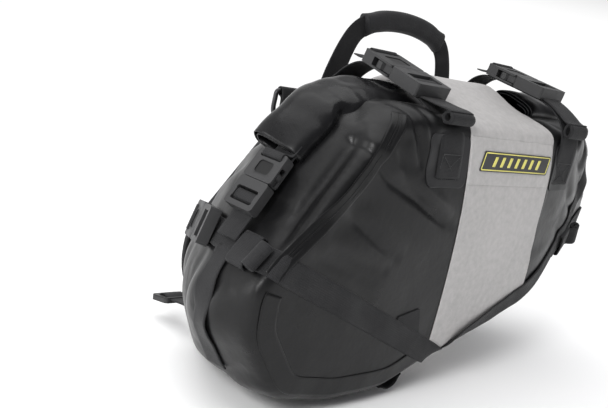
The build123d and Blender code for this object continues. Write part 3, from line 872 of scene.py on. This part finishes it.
BAND_OVERLAP = [(cut_x(z, edge) + inwards, z) for z, edge, inwards in (
    (FOLD, BAND_LEFT, 1), (85, BAND_LEFT, 1), (85, BAND_RIGHT, -1), (FOLD, BAND_RIGHT, -1))]
BADGE = ((-54, 119), (-60, 99), (70, 99), (76, 119))

patch("left_outer_patch", rectangle(-144, -79, 81, 131, 9), 0.9, PATCH, "patch_fabric",
      ["outer_patches"])
patch("right_outer_patch", rectangle(88, 150, 81, 133, 9), 0.9, PATCH, "patch_fabric",
      ["outer_patches"])
patch("left_lower_patch", cornered(((-133, -50), (-82, -80), (-97, -42)), 3, 2.0), 1.2, WEBBING,
      "patch_fabric", ["lower_patch"])
patch("band_weld_overlap", cornered(BAND_OVERLAP, 1.5, 3.0), 1.5, GREY, "band_fabric")
patch("badge_plate", cornered(BADGE, 1.5, 2.0), 2.5, BADGE_DARK, "badge_print", ["badge"])


def badge_marks():
    """Plain border and slanted bars, in place of any mark."""
    bars = []
    centre = np.array(BADGE, float).mean(0)
    grown = [centre + (np.array(c, float) - centre) * (0.965, 0.84) for c in BADGE]
    for i in range(4):
        a, b = grown[i], grown[(i + 1) % 4]
        side = unit(np.array([-(b - a)[1], (b - a)[0]])) * 0.55
        bars.append((a + side, a - side, b - side, b + side))
    for x in range(-38, 47, 14):
        bars.append(((x + 4.5, 114), (x - 0.5, 104), (x + 4.5, 104), (x + 9.5, 114)))
    return bars


for number, bar in enumerate(badge_marks(), 1):
    patch(f"badge_bar_{number}", resample(bar, 1.5, closed=True), 2.8, BADGE_LIGHT,
          "badge_print", rings=(0.05, 0.6, 1))


# ---- rolled mouths -----------------------------------------------------------------------
ROLL_Y = -105
ROLL_HALF = node_box("left_roll_top")[1][2] - 145 - 1      # half of the roll's thickness
ROLL_WIDE = 27.0                                           # half of its width


def roll(name, path, tilt, creases, node):
    """A flattened spiral of fabric swept along its path, open at both ends."""
    line = rounded_path([(x, ROLL_Y, z) for x, z in path])
    along = direction(line)
    side = 1 if along[0][0] > 0 else -1
    up = np.stack([-along[:, 2], np.zeros(len(line)), along[:, 0]], 1) * side
    lean = math.radians(tilt)
    wide_axis = np.array([0, 1, 0]) * math.cos(lean) + up * math.sin(lean)
    thick_axis = up * math.cos(lean) - np.array([0, 1, 0]) * math.sin(lean)
    turns = np.radians(np.arange(-48, 800, 7))
    run = run_length(line)
    bend = run[np.argmin(np.abs(line[:, 0] - path[1][0]))]
    rows, outward = [], []
    for i, centre in enumerate(line):       # pinched at its bend and towards both ends
        ends = min(run[i], run[-1] - run[i])
        squeeze = 1 - 0.18 * math.exp(-((run[i] - bend) / 16) ** 2) - 0.22 * math.exp(-ends / 14)
        widen = 1 + 0.05 * math.exp(-((run[i] - bend) / 22) ** 2)
        wander = 0.5 * math.sin(run[i] / 23) + 0.35 * math.sin(run[i] / 9 + 1)
        for phi in turns:
            depth = phi / (2 * math.pi)
            a = (ROLL_WIDE - 3.4 * depth + wander) * widen
            b = (ROLL_HALF - 4.0 * depth + 0.5 * wander) * squeeze
            c, s = -math.cos(phi), math.sin(phi)
            p = a * power(c, 0.8), b * power(s, 0.62)
            rows.append(centre + wide_axis[i] * p[0] + thick_axis[i] * p[1])
            n = unit(np.array([p[0] / a ** 2, p[1] / b ** 2]))
            outward.append(wide_axis[i] * n[0] + thick_axis[i] * n[1])
        lip = rows[-len(turns)]         # the fabric hangs on down from the first turn
        for _ in range(2):
            lip = lip - thick_axis[i] * 7.5 + wide_axis[i] * 3.0
            rows.append(lip)
            outward.append(-wide_axis[i])
    count = len(turns) + 2
    points, outward = np.array(rows), np.array(outward)
    for crease_line, deep, width in creases:
        points = crease(points, outward, crease_line, deep, width)
    points += outward * (waviness(points, 55, 11) * 0.7 + waviness(points, 24, 12) * 0.25)[:, None]
    order = [count - 1, count - 2] + list(range(len(turns)))
    points = points.reshape(len(line), count, 3)[:, order].reshape(-1, 3)
    made = make_piece(name, points, grid_faces(len(line), count, closed_columns=False), ROLLED)
    solidify(made, 1.3, 0)
    settle(made, "rolled_fabric", "bag", node)


roll("left_rolled_mouth", ((-258, 89), (-206, 146), (-84, 143)), 20, (
    (((-250, -136, 132), (-222, -136, 140), (-206, -134, 140)), 4.0, 5),
    (((-206, -140, 150), (-214, -134, 132), (-214, -132, 116)), 8.0, 6),
    (((-206, -120, 160), (-184, -132, 154), (-150, -134, 150)), 5.0, 6),
    (((-216, -100, 168), (-208, -124, 158), (-206, -136, 142)), 6.0, 6),
    (((-170, -134, 132), (-146, -136, 138), (-120, -134, 144)), 4.0, 6),
    (((-196, -80, 166), (-190, -100, 162), (-176, -118, 160)), 3.0, 7),
    (((-236, -80, 118), (-232, -100, 126), (-236, -122, 120)), 2.5, 7),
    (((-160, -84, 160), (-140, -100, 160), (-128, -118, 160)), 2.0, 7),
), "left_roll_top")
roll("right_rolled_mouth", ((263, 117), (216, 160), (96, 160)), 16, (
    (((214, -136, 160), (220, -130, 146), (224, -126, 132)), 6.0, 6),
    (((214, -118, 176), (194, -128, 172), (164, -132, 168)), 4.0, 6),
    (((230, -96, 168), (222, -116, 170), (214, -130, 164)), 4.0, 7),
    (((250, -130, 132), (236, -130, 140), (224, -130, 152)), 3.0, 6),
    (((180, -80, 176), (160, -100, 178), (140, -116, 176)), 2.5, 7),
), "right_roll_top")


# ---- buckle seats ------------------------------------------------------------------------
class Seat:
    """A buckle's place and axes: x towards the ladder lock, z out of its face."""

    def __init__(self, origin, x, z, strap):
        self.origin, self.x, self.z = (np.array(v, float) for v in (origin, x, z))
        self.x, self.z = unit(self.x), unit(self.z)
        self.y = np.cross(self.z, self.x)
        self.strap = strap
        self.half = 39 if strap == WIDE else 29             # half of the buckle's length
        self.height = 13 if strap == WIDE else 10.5

    def at(self, x, z):
        """Point in the buckle's middle plane."""
        return self.origin + self.x * x + self.z * z


ROLL_FRONT, MIDDLE = -121, -106
ROLL_CREST = {-1: 162, 1: 179}          # height of a cross strap at ROLL_FRONT, by side
SLOPES = {-1: 0.268, 1: 0.176}          # its rise towards the back


def cross_height(side, y):
    """Height of the straight stretch of a cross strap."""
    return ROLL_CREST[side] + (y - ROLL_FRONT) * SLOPES[side]


def top_seat(side):
    """Seat of a wide buckle on the straight stretch of a cross strap."""
    lean = unit((0, -1, -SLOPES[side]))
    up = np.array([0, lean[2], -lean[1]])
    origin = np.array([side * CROSS_X, MIDDLE, cross_height(side, MIDDLE)]) + up * 1.3
    return Seat(origin, lean, up, WIDE)


def end_seat(start, end, y, out):
    """Seat of a narrow buckle on a tether from start to end, facing out along X."""
    down = unit((end[0] - start[0], 0, end[1] - start[1]))
    face = np.array([-down[2], 0, down[0]])
    face = face if face[0] * out > 0 else -face
    origin = np.array([start[0], y, start[1]]) + down * 35 + face * (WEB / 2 + 0.5)
    return Seat(origin, down, face, NARROW)


LEFT_TETHER = ((-259, 88), (-305, 17))
RIGHT_TETHER = ((262, 114), (310, 43))
SEATS = {
    "left_top_buckle": top_seat(-1),
    "right_top_buckle": top_seat(1),
    "left_side_buckle": Seat(SLOPE_STRAP + SLOPE_BACK * 34 + SLOPE_OUT * 2.4, -SLOPE_BACK,
                             SLOPE_OUT, NARROW),
    "right_side_buckle": Seat((296 + 0.966 * 5.8, -40, 37 - 0.259 * 5.8), (0, -1, 0),
                              (0.966, 0, -0.259), NARROW),
    "left_end_buckle": end_seat(*LEFT_TETHER, -118, -1),
    "right_end_buckle": end_seat(*RIGHT_TETHER, -100, 1),
}

for name, seat in SEATS.items():
    h, t = seat.half, seat.height
    for label, body_name, spots in (
            ("sewn_loop", "bag", (
                (-h - 17, -0.4), (-h - 5, 0.2), (-h - 2.4, t * 0.4), (-h - 1.0, t + 0.6),
                (-h + 3.5, t + 1.3), (-h + 5.6, t * 0.9), (-h + 5.6, t * 0.5))),
            ("ladder_web", f"{name}_male", (
                (h * 0.42, 0.6), (h * 0.42, t * 0.6), (h * 0.45, t * 0.72 + 1.3),
                (h * 0.73, t * 0.72 + 1.3), (h * 0.76, t * 0.5), (h * 0.76, 0.6)))):
        strap(f"{name}_{label}", spots, seat.at, seat.y, seat.strap, body_name, step=1.2, thick=1.4)


# ---- straps ------------------------------------------------------------------------------
def flat_strap(name, x, spots, width, *nodes, step=2.5):
    """A strap seen edge-on: (y, z) spots at one x."""
    strap(name, spots, lambda y, z: (x, y, z), (1.0, 0, 0), width, "bag", nodes, step)


def front_y(x, z, gap):
    """Y of the outer face at (x, z), a gap outside it."""
    return front_hit(x, z, gap)[0][1]


def coil_spots(y, z, ry, rz, start, turns, tight=0.62):
    """(y, z) spots of a strap end rolled up, from its outside inwards."""
    spots = []
    for k in range(int(turns * 14) + 1):
        angle = math.radians(start) + 2 * math.pi * k / 14
        share = 1 - (1 - tight) * k / (turns * 14)
        spots.append((y - ry * share * math.cos(angle), z + rz * share * math.sin(angle)))
    return spots


def cross_strap(side, word, climb, tail):
    """The wide strap over the top: its outer part, its anchor at the back and its spare end."""
    x = side * CROSS_X
    straight = [(y, cross_height(side, y)) for y in (-146, -126, MIDDLE - 1)]
    face = [(front_y(x, z, 1.9), z) for z in (90, 106, 120)]
    flat_strap(f"{word}_cross_webbing", x, face + climb + straight, WIDE, f"{word}_cross_strap")
    back_end = [(y, cross_height(side, y)) for y in (MIDDLE + 1, -84, -64)]
    back_end += [(-44, cross_height(side, -64) - 10), (-30, FOLD + 20), (-12, FOLD + 9)]
    flat_strap(f"{word}_cross_anchor_webbing", x, back_end, WIDE, f"{word}_cross_strap_anchor")
    flat_strap(f"{word}_cross_tail", x, tail, WIDE, "rolled_tails", step=1.5)
    box_stitch(f"{word}_cross_stitching", (x, front_y(x, 101, 2.7), 101), (1, 0, 0), (0, -1, 0),
               24, 30)


cross_strap(-1, "left", [(-179, 133), (-164, 145)],
            [(-145, 157.8), (-156, 156.2), (-168, 154.6), (-177, 154)]
            + coil_spots(-181.5, 146.5, 6.2, 6.2, 60, 2.0))
cross_strap(1, "right", [(-182, 138), (-177, 153), (-163, 167)],
            [(-145, 177.4), (-158, 172), (-170, 165), (-180, 158)]
            + coil_spots(-185.5, 150, 5.0, 8.5, 60, 2.1))


STRAP_GAP = 1.1         # from the bag to the middle of a strap


def body_strap(name, line, *nodes):
    """A lashing strap pulled over the bag through points, bridging its hollows."""
    placed, normals = on_body(rounded_path(line), STRAP_GAP)
    placed = smooth_rows(placed, 6)
    normals = smooth_rows(normals, 12)
    nearest, _ = on_body(placed, STRAP_GAP)
    sunk = np.einsum("ij,ij->i", nearest - placed, normals) > 0
    placed[sunk] = nearest[sunk]
    made = ribbon(f"{name}_webbing", smooth_rows(placed, 2), normals, NARROW, WEBBING)
    settle(made, "webbing", "bag", *nodes)


body_strap("left_compression",
           ((-28, F + 34, -108), (-31, F + 8, -106), (-45, F, -101), (-120, F, -69),
            (-200, F, -34), (-262, F, -8), (-294, F + 3, 5), (-304, F + 18, 9),
            (-302, F + 50, 11), SLOPE_STRAP, SLOPE_STRAP + SLOPE_BACK * 33),
           "left_compression_strap")
body_strap("left_compression_anchor",
           [SLOPE_STRAP + SLOPE_BACK * far for far in (35, 60, 85, 106)],
           "left_compression_anchor")
body_strap("right_compression",
           ((-24, F + 30, -96), (-18, F + 6, -92), (-6, F, -86), (70, F, -52), (122, F + 2, -30),
            (160, F + 12, -2), (197, F + 23, 32), (228, F + 31, 66), (246, F + 40, 94),
            (254, F + 48, 114), (254, F + 62, 124)), "right_compression_strap")
body_strap("right_end_branch",
           ((176, F + 14, 6), (202, F + 22, 11), (228, F + 30, 20), (262, F + 44, 33),
            (286, F + 62, 38), (296, -84, 38), (297, -41, 37)))
body_strap("right_compression_anchor", ((297, -39, 37), (297, -22, 37), (295, -7, 37)),
           "right_compression_anchor")
body_strap("left_end",
           ((-306, -118, 6), (-318, -118, -12), (-326, -118, -40), (-320, -118, -66),
            (-304, -118, -92), (-288, -118, -108)), "left_end_strap")
body_strap("right_end", ((298, -100, 22), (290, -100, 8), (268, -100, 0), (242, -100, -8)),
           "right_end_strap")

for word, (start, end), y, tip in (("left", LEFT_TETHER, -118, (9, 12)),
                                   ("right", RIGHT_TETHER, -100, (-9, 12))):
    a, b = np.array([start[0], y, start[1]], float), np.array([end[0], y, end[1]], float)
    begin = a + np.array([tip[0], 0, tip[1]])
    path = rounded_path((begin, a, a + (b - a) * 0.5, b, b + unit(b - a) * 4))
    face = SEATS[f"{word}_end_buckle"].z
    made = ribbon(f"{word}_tether_webbing", path, face, NARROW, WEBBING)
    settle(made, "webbing", "bag", f"{word}_tether_strap")


# ---- keepers, tails and loops ------------------------------------------------------------
def laid_axes(spot, normal, heading):
    """Point, direction along a strap, direction across it and normal on the bag."""
    spot, normal, heading = (np.array(v, float) for v in (spot, normal, heading))
    along = unit(heading - normal * (heading @ normal))
    return spot, along, np.cross(normal, along), normal


def face_axes(x, z, angle):
    """A strap's axes on the outer face."""
    turn = math.radians(angle)
    return laid_axes(*front_hit(x, z, 0.0), (math.cos(turn), 0, math.sin(turn)))


def end_axes(point, heading):
    """A strap's axes at the point of the bag nearest to one given."""
    spots, normals = on_body([point], 0.0)
    return laid_axes(spots[0], normals[0], heading)


def keeper(name, axes, length, width, height):
    """A band of webbing round the strap and its tail."""
    spot, along, across, normal = axes
    w = width / 2
    spots = ((-w, -0.4), (-w, height * 0.6), (-w + 2.5, height), (w - 2.5, height),
             (w, height * 0.6), (w, -0.4))
    strap(name, spots, lambda a, b: spot + across * a + normal * b, -along, length, "bag",
          ["strap_keepers"], 1.5)


TAIL_HIGH = 11.0


def tail_roll(name, axes, along_half):
    """The strap's spare end rolled up and tucked under its keeper."""
    spot, along, across, normal = axes
    spots = [(-along_half - 9, 3.0), (-along_half - 3, 3.2)]
    spots += coil_spots(0, TAIL_HIGH / 2 + 3, along_half, TAIL_HIGH / 2, 30, 2.3, 0.3)
    strap(name, spots, lambda a, b: spot - along * a + normal * b, -across, NARROW, "bag",
          ["rolled_tails"], 1.2, 2)


keeper("left_strap_keeper", end_axes((-303, -142, 9), (0, 1, 0)), 22, 31, 6.0)
tail_roll("left_strap_tail", end_axes((-303, -162, 6), (0, 1, 0.1)), 7.0)
keeper("right_strap_keeper", face_axes(205, 12, 24.7), 24, 30, 5.0)
tail_roll("right_strap_tail", face_axes(230, 22, 204.7), 8.0)

for word, x, y, width, drop in (("front", -98, -160, 26, 7), ("left", -221, -40, 34, 9),
                                ("middle", -72, -42, 34, 5), ("right", 164, -42, 34, 5)):
    spots = []
    for at, gap in ((-15, 0.3), (-12, 1.2), (-5, drop), (5, drop), (12, 1.2), (15, 0.3)):
        spot, normal, _, _ = body_tree.ray_cast(Vector((x + at, y, LOW - 90)), Vector((0, 0, 1)))
        spots.append(np.array(spot) + np.array(normal) * gap)
    path = rounded_path(spots, 3, 1.5)
    loop = ribbon(f"{word}_bottom_loop", path, facing(path, (0, 1.0, 0)), width, WEBBING)
    settle(loop, "webbing", "bag", "bottom_loops")


# ---- back --------------------------------------------------------------------------------
HEAT_CORNERS = (
    ((-170, 82), 18), ((-247, -22), 28), ((-247, -105), 68), ((-128, -105), 60),
    ((268, 38), 18), ((266, 62), 12), ((240, 82), 14),
)
HEAT_STRIP = 15         # width of the two strips across the panel


def plate(name, outline, y_rim, y_face, crown, material, rim=2.0, y_low=BACK - 0.6):
    """A plate on the back face: its face at y_face, dropping by crown towards its rim."""
    outline = np.asarray(outline, float)
    centre = outline.mean(0)
    size = np.abs(outline - centre).max()
    layers = [(share, y_face - crown * share ** 4)
              for share in (0.02, 0.25, 0.5, 0.7, 0.85, 0.94, 1 - rim / size)]
    layers += [(1 - rim * 0.3 / size, y_rim + (y_face - crown - y_rim) * 0.7), (1, y_rim),
               (1, y_low), (0.5, y_low), (0.02, y_low)]
    rows = [np.insert(centre + (outline - centre) * share, 1, y, axis=1) for share, y in layers]
    return make_piece(name, np.vstack(rows), tube_faces(len(rows), len(outline)), material)


heat_outline = rounded_outline(HEAT_CORNERS, 4.0)
panel = plate("heat_guard", heat_outline, -2.2, 0.0, 0.9, HEAT, rim=3.0)
settle(panel, "heat_panel", "bag", "back_panel")

# the two slanted strips, then the thick binding round the panel
for name, start, end in (("long", (-222, -42), (-128, 56)), ("short", (-150, -84), (-62, -20))):
    start, end = np.array(start, float), np.array(end, float)
    side = unit(np.array([-(end - start)[1], (end - start)[0]])) * HEAT_STRIP / 2
    outline = cornered((start + side, start - side, end - side, end + side), 2.0, 2.5)
    strip = plate(f"heat_guard_{name}_strip", outline, 0.1, 0.75, 0.1, HEAT, rim=1.2, y_low=-0.8)
    settle(strip, "heat_panel", "bag")

normals = outline_normals(heat_outline)
rows = []
for (x, z), (out_x, out_z) in zip(heat_outline + normals * 3.7, normals):
    for angle in np.linspace(0, 2 * math.pi, 12, endpoint=False):
        reach = 3.5 * math.cos(angle)
        rows.append((x + out_x * reach, -2.9 + 2.7 * math.sin(angle), z + out_z * reach))
piping = make_piece("heat_guard_piping", rows,
                    grid_faces(len(heat_outline), 12, closed_rows=True), PIPING)
settle(piping, "piping", "bag", "back_panel_piping")

pile = plate("hook_and_loop_patch", rectangle(-75, 75, 93, 119, 4), -3.4, -2.6, 0.1, PILE,
             rim=1.5)
settle(pile, "hook_and_loop", "bag", "hook_and_loop_panel")

WEB_Y = BACK + 0.1 + WEB / 2          # middle of webbing sewn flat on the back
edge_path = rounded_path(((-80, WEB_Y, 129), (0, WEB_Y + 0.3, 128.5), (80, WEB_Y, 129)), 2, 4)
edge_web = ribbon("top_edge_webbing", edge_path, (0, 1, 0), 14, WEBBING)
settle(edge_web, "webbing", "bag", "top_edge_strap")

for side, word in ((-1, "left"), (1, "right")):
    spots = ((1, 92), (1, 118), (1, 136), (1, 142), (0.97, 158), (0.9, 182), (0.8, 202),
             (0.64, 213))
    path = rounded_path([(side * share * HANDLE_X, WEB_Y, z) for share, z in spots])
    leg = ribbon(f"{word}_handle_leg", path, (0, 1, 0), WIDE, WEBBING, taper_to=23)
    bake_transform(leg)
    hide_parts("handle_bases", "handle_webbing")
    box_stitch(f"{word}_handle_stitching", (side * HANDLE_X, WEB_Y + WEB / 2 + 0.1, 119),
               (1, 0, 0), (0, 1, 0), 26, 30)


GRIP_THICK, GRIP_DEEP = 6.8, 11.2       # half of the wrap's thickness and depth


def make_grip():
    """Padded wrap closed over both legs, a little lumpy, with its flap along one side."""
    arc = rounded_path(((-68, 211), (-40, 220.5), (0, 224), (40, 220.5), (68, 211)))
    path = np.array([(x, WEB_Y, z) for x, z in arc])
    up = facing(path, (0, 1.0, 0))
    up *= np.sign(up[:, 2:3])
    run = run_length(path)
    rows, weave = [], []
    count = 28
    for i, centre in enumerate(path):
        end = min(run[i], run[-1] - run[i])
        flare = 1 + 0.10 * math.exp(-end / 5) - 0.05 * math.exp(-((end - 14) / 7) ** 2)
        lump = 1 + 0.03 * math.sin(run[i] / 8.5) + 0.02 * math.sin(run[i] / 3.9 + 2)
        for k in range(count):
            angle = 2 * math.pi * k / count
            c, s = math.cos(angle), math.sin(angle)
            a = GRIP_THICK * power(c, 0.75) * lump
            b = GRIP_DEEP * power(s, 0.8) * flare
            flap = 0.9 if 0.2 < angle < 3.9 else 0.0
            rows.append(centre + np.array([0, 1, 0]) * (a + flap * c) + up[i] * (b + flap * s))
            weave.append((k * 2.1 * MM, run[i] * MM, 0))
    made = make_piece("grip_wrap", rows, tube_faces(len(path), count), GRIP)
    store(made, "weave", weave)
    settle(made, "grip_wrap", "handle", "handle_grip")


make_grip()

BAR_Y, BAR_Z = BACK + 0.1 + WEB + 5.2, 128
tab_spots = [(WEB_Y, 90), (WEB_Y, 108), (WEB_Y, 121), (WEB_Y + 1.0, 125)]
tab_spots += [(BAR_Y - 3.9 * math.cos(t), BAR_Z + 3.9 * math.sin(t))
              for t in np.radians((0, 45, 90, 135, 180, 225, 262))]
tab_spots += [(WEB_Y + 2.2, 121.5), (WEB_Y + 1.7, 116), (WEB_Y + 1.7, 94)]
for side, word in ((-1, "left"), (1, "right")):
    flat_strap(f"{word}_ring_tab", side * RING_X, tab_spots, 37, "ring_tabs", step=1.2)

rack_x = node_box("rack_strap")[0][0] + NARROW / 2
flat_strap("rack_webbing", rack_x, ((-2.8, -118), (-2.2, -111), (5, -107.8), (22, -110.2),
                                    (38, -112.8), (44, -111.5), (48, -110.7), (52, -110.9),
                                    (56, -111.9), (58, -114.5)), NARROW, "rack_strap", step=1.5)


# ---- carried-over hardware ---------------------------------------------------------------
for name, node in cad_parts.items():
    if node.hide_render:
        continue
    finish = PLASTIC
    if "d_ring" in name:
        finish = RING_METAL
    elif name == "rivets":
        finish = RIVET_METAL
    node.data.materials.clear()
    node.data.materials.append(finish)


# ---- floor, lights and camera ------------------------------------------------------------
def make_floor(z):
    """A plain pale floor at height z."""
    m = Nodes("floor")
    m.set(Base_Color=m.mix(m.noise(1.5), (0.94, 0.94, 0.94), (0.96, 0.96, 0.96)), Roughness=0.7)
    corners = [(x, y, z) for x in (-9000, 9000) for y in (-9000, 9000)]
    make_piece("floor", corners, [(0, 1, 3, 2)], m.owner)


def link_light(name, kind, place=(0, 0, 0), target=(0, 0, -1), **settings):
    """A lamp at a place in metres, aimed at its target."""
    lamp = bpy.data.lights.new(name, kind)
    for key, value in settings.items():
        setattr(lamp, key, value)
    made = bpy.data.objects.new(name, lamp)
    made.location = place
    made.rotation_euler = (Vector(target) - Vector(place)).to_track_quat("-Z", "Y").to_euler()
    bpy.context.scene.collection.objects.link(made)


def make_world(bright, dark, towards):
    """A studio that is bright towards one side and low down, and darker elsewhere."""
    m = Nodes("studio", "worlds", "Background")
    place = m.add("ShaderNodeTexCoord").outputs["Generated"]
    lit = m.add("ShaderNodeVectorMath", {0: place, 1: unit(towards)}, operation="DOT_PRODUCT")
    side = m.spread(lit.outputs["Value"], 0, 1, -0.45, 0.45, "SMOOTHSTEP")
    height = m.add("ShaderNodeSeparateXYZ", {0: place}).outputs["Z"]
    low = m.spread(height, 1, 0, 0.05, 0.17, "SMOOTHSTEP")
    m.set(Color=m.mix(m.math("MAXIMUM", side, low), dark, bright), Strength=1.0)
    bpy.context.scene.world = m.owner


make_floor(LOW - 10.2)
make_world((1.05, 1.05, 1.05), (0.20, 0.20, 0.21), (-0.35, 1.0, -0.55))
link_light("overhead", "SUN", energy=2.1, angle=math.radians(70))
link_light("left_softbox", "AREA", (-1.8, -0.7, 1.0), (-0.1, -0.1, 0),
           shape="RECTANGLE", size=0.5, size_y=0.6, energy=22)
link_light("end_softbox", "AREA", (-1.8, 0.5, 0.5), (-0.2, -0.1, 0),
           shape="RECTANGLE", size=0.5, size_y=1.1, energy=9)

# seen from the left end and a little above
camera_data = bpy.data.cameras.new("camera")
camera = bpy.data.objects.new("camera", camera_data)
bpy.context.scene.collection.objects.link(camera)
right_way = Vector((0.69425, -0.68501, 0.22086)).normalized()
up_way = Vector((-0.00903, 0.29856, 0.95435)).normalized()
turn = Matrix((right_way, up_way, right_way.cross(up_way))).transposed().to_4x4()
camera.matrix_world = Matrix.Translation((-0.7946, -0.6468, 0.2030)) @ turn
camera_data.lens, camera_data.sensor_width = 51.93, 36
camera_data.clip_start, camera_data.clip_end = 0.05, 60
bpy.context.scene.camera = camera
bpy.context.scene.view_settings.view_transform = "Standard"
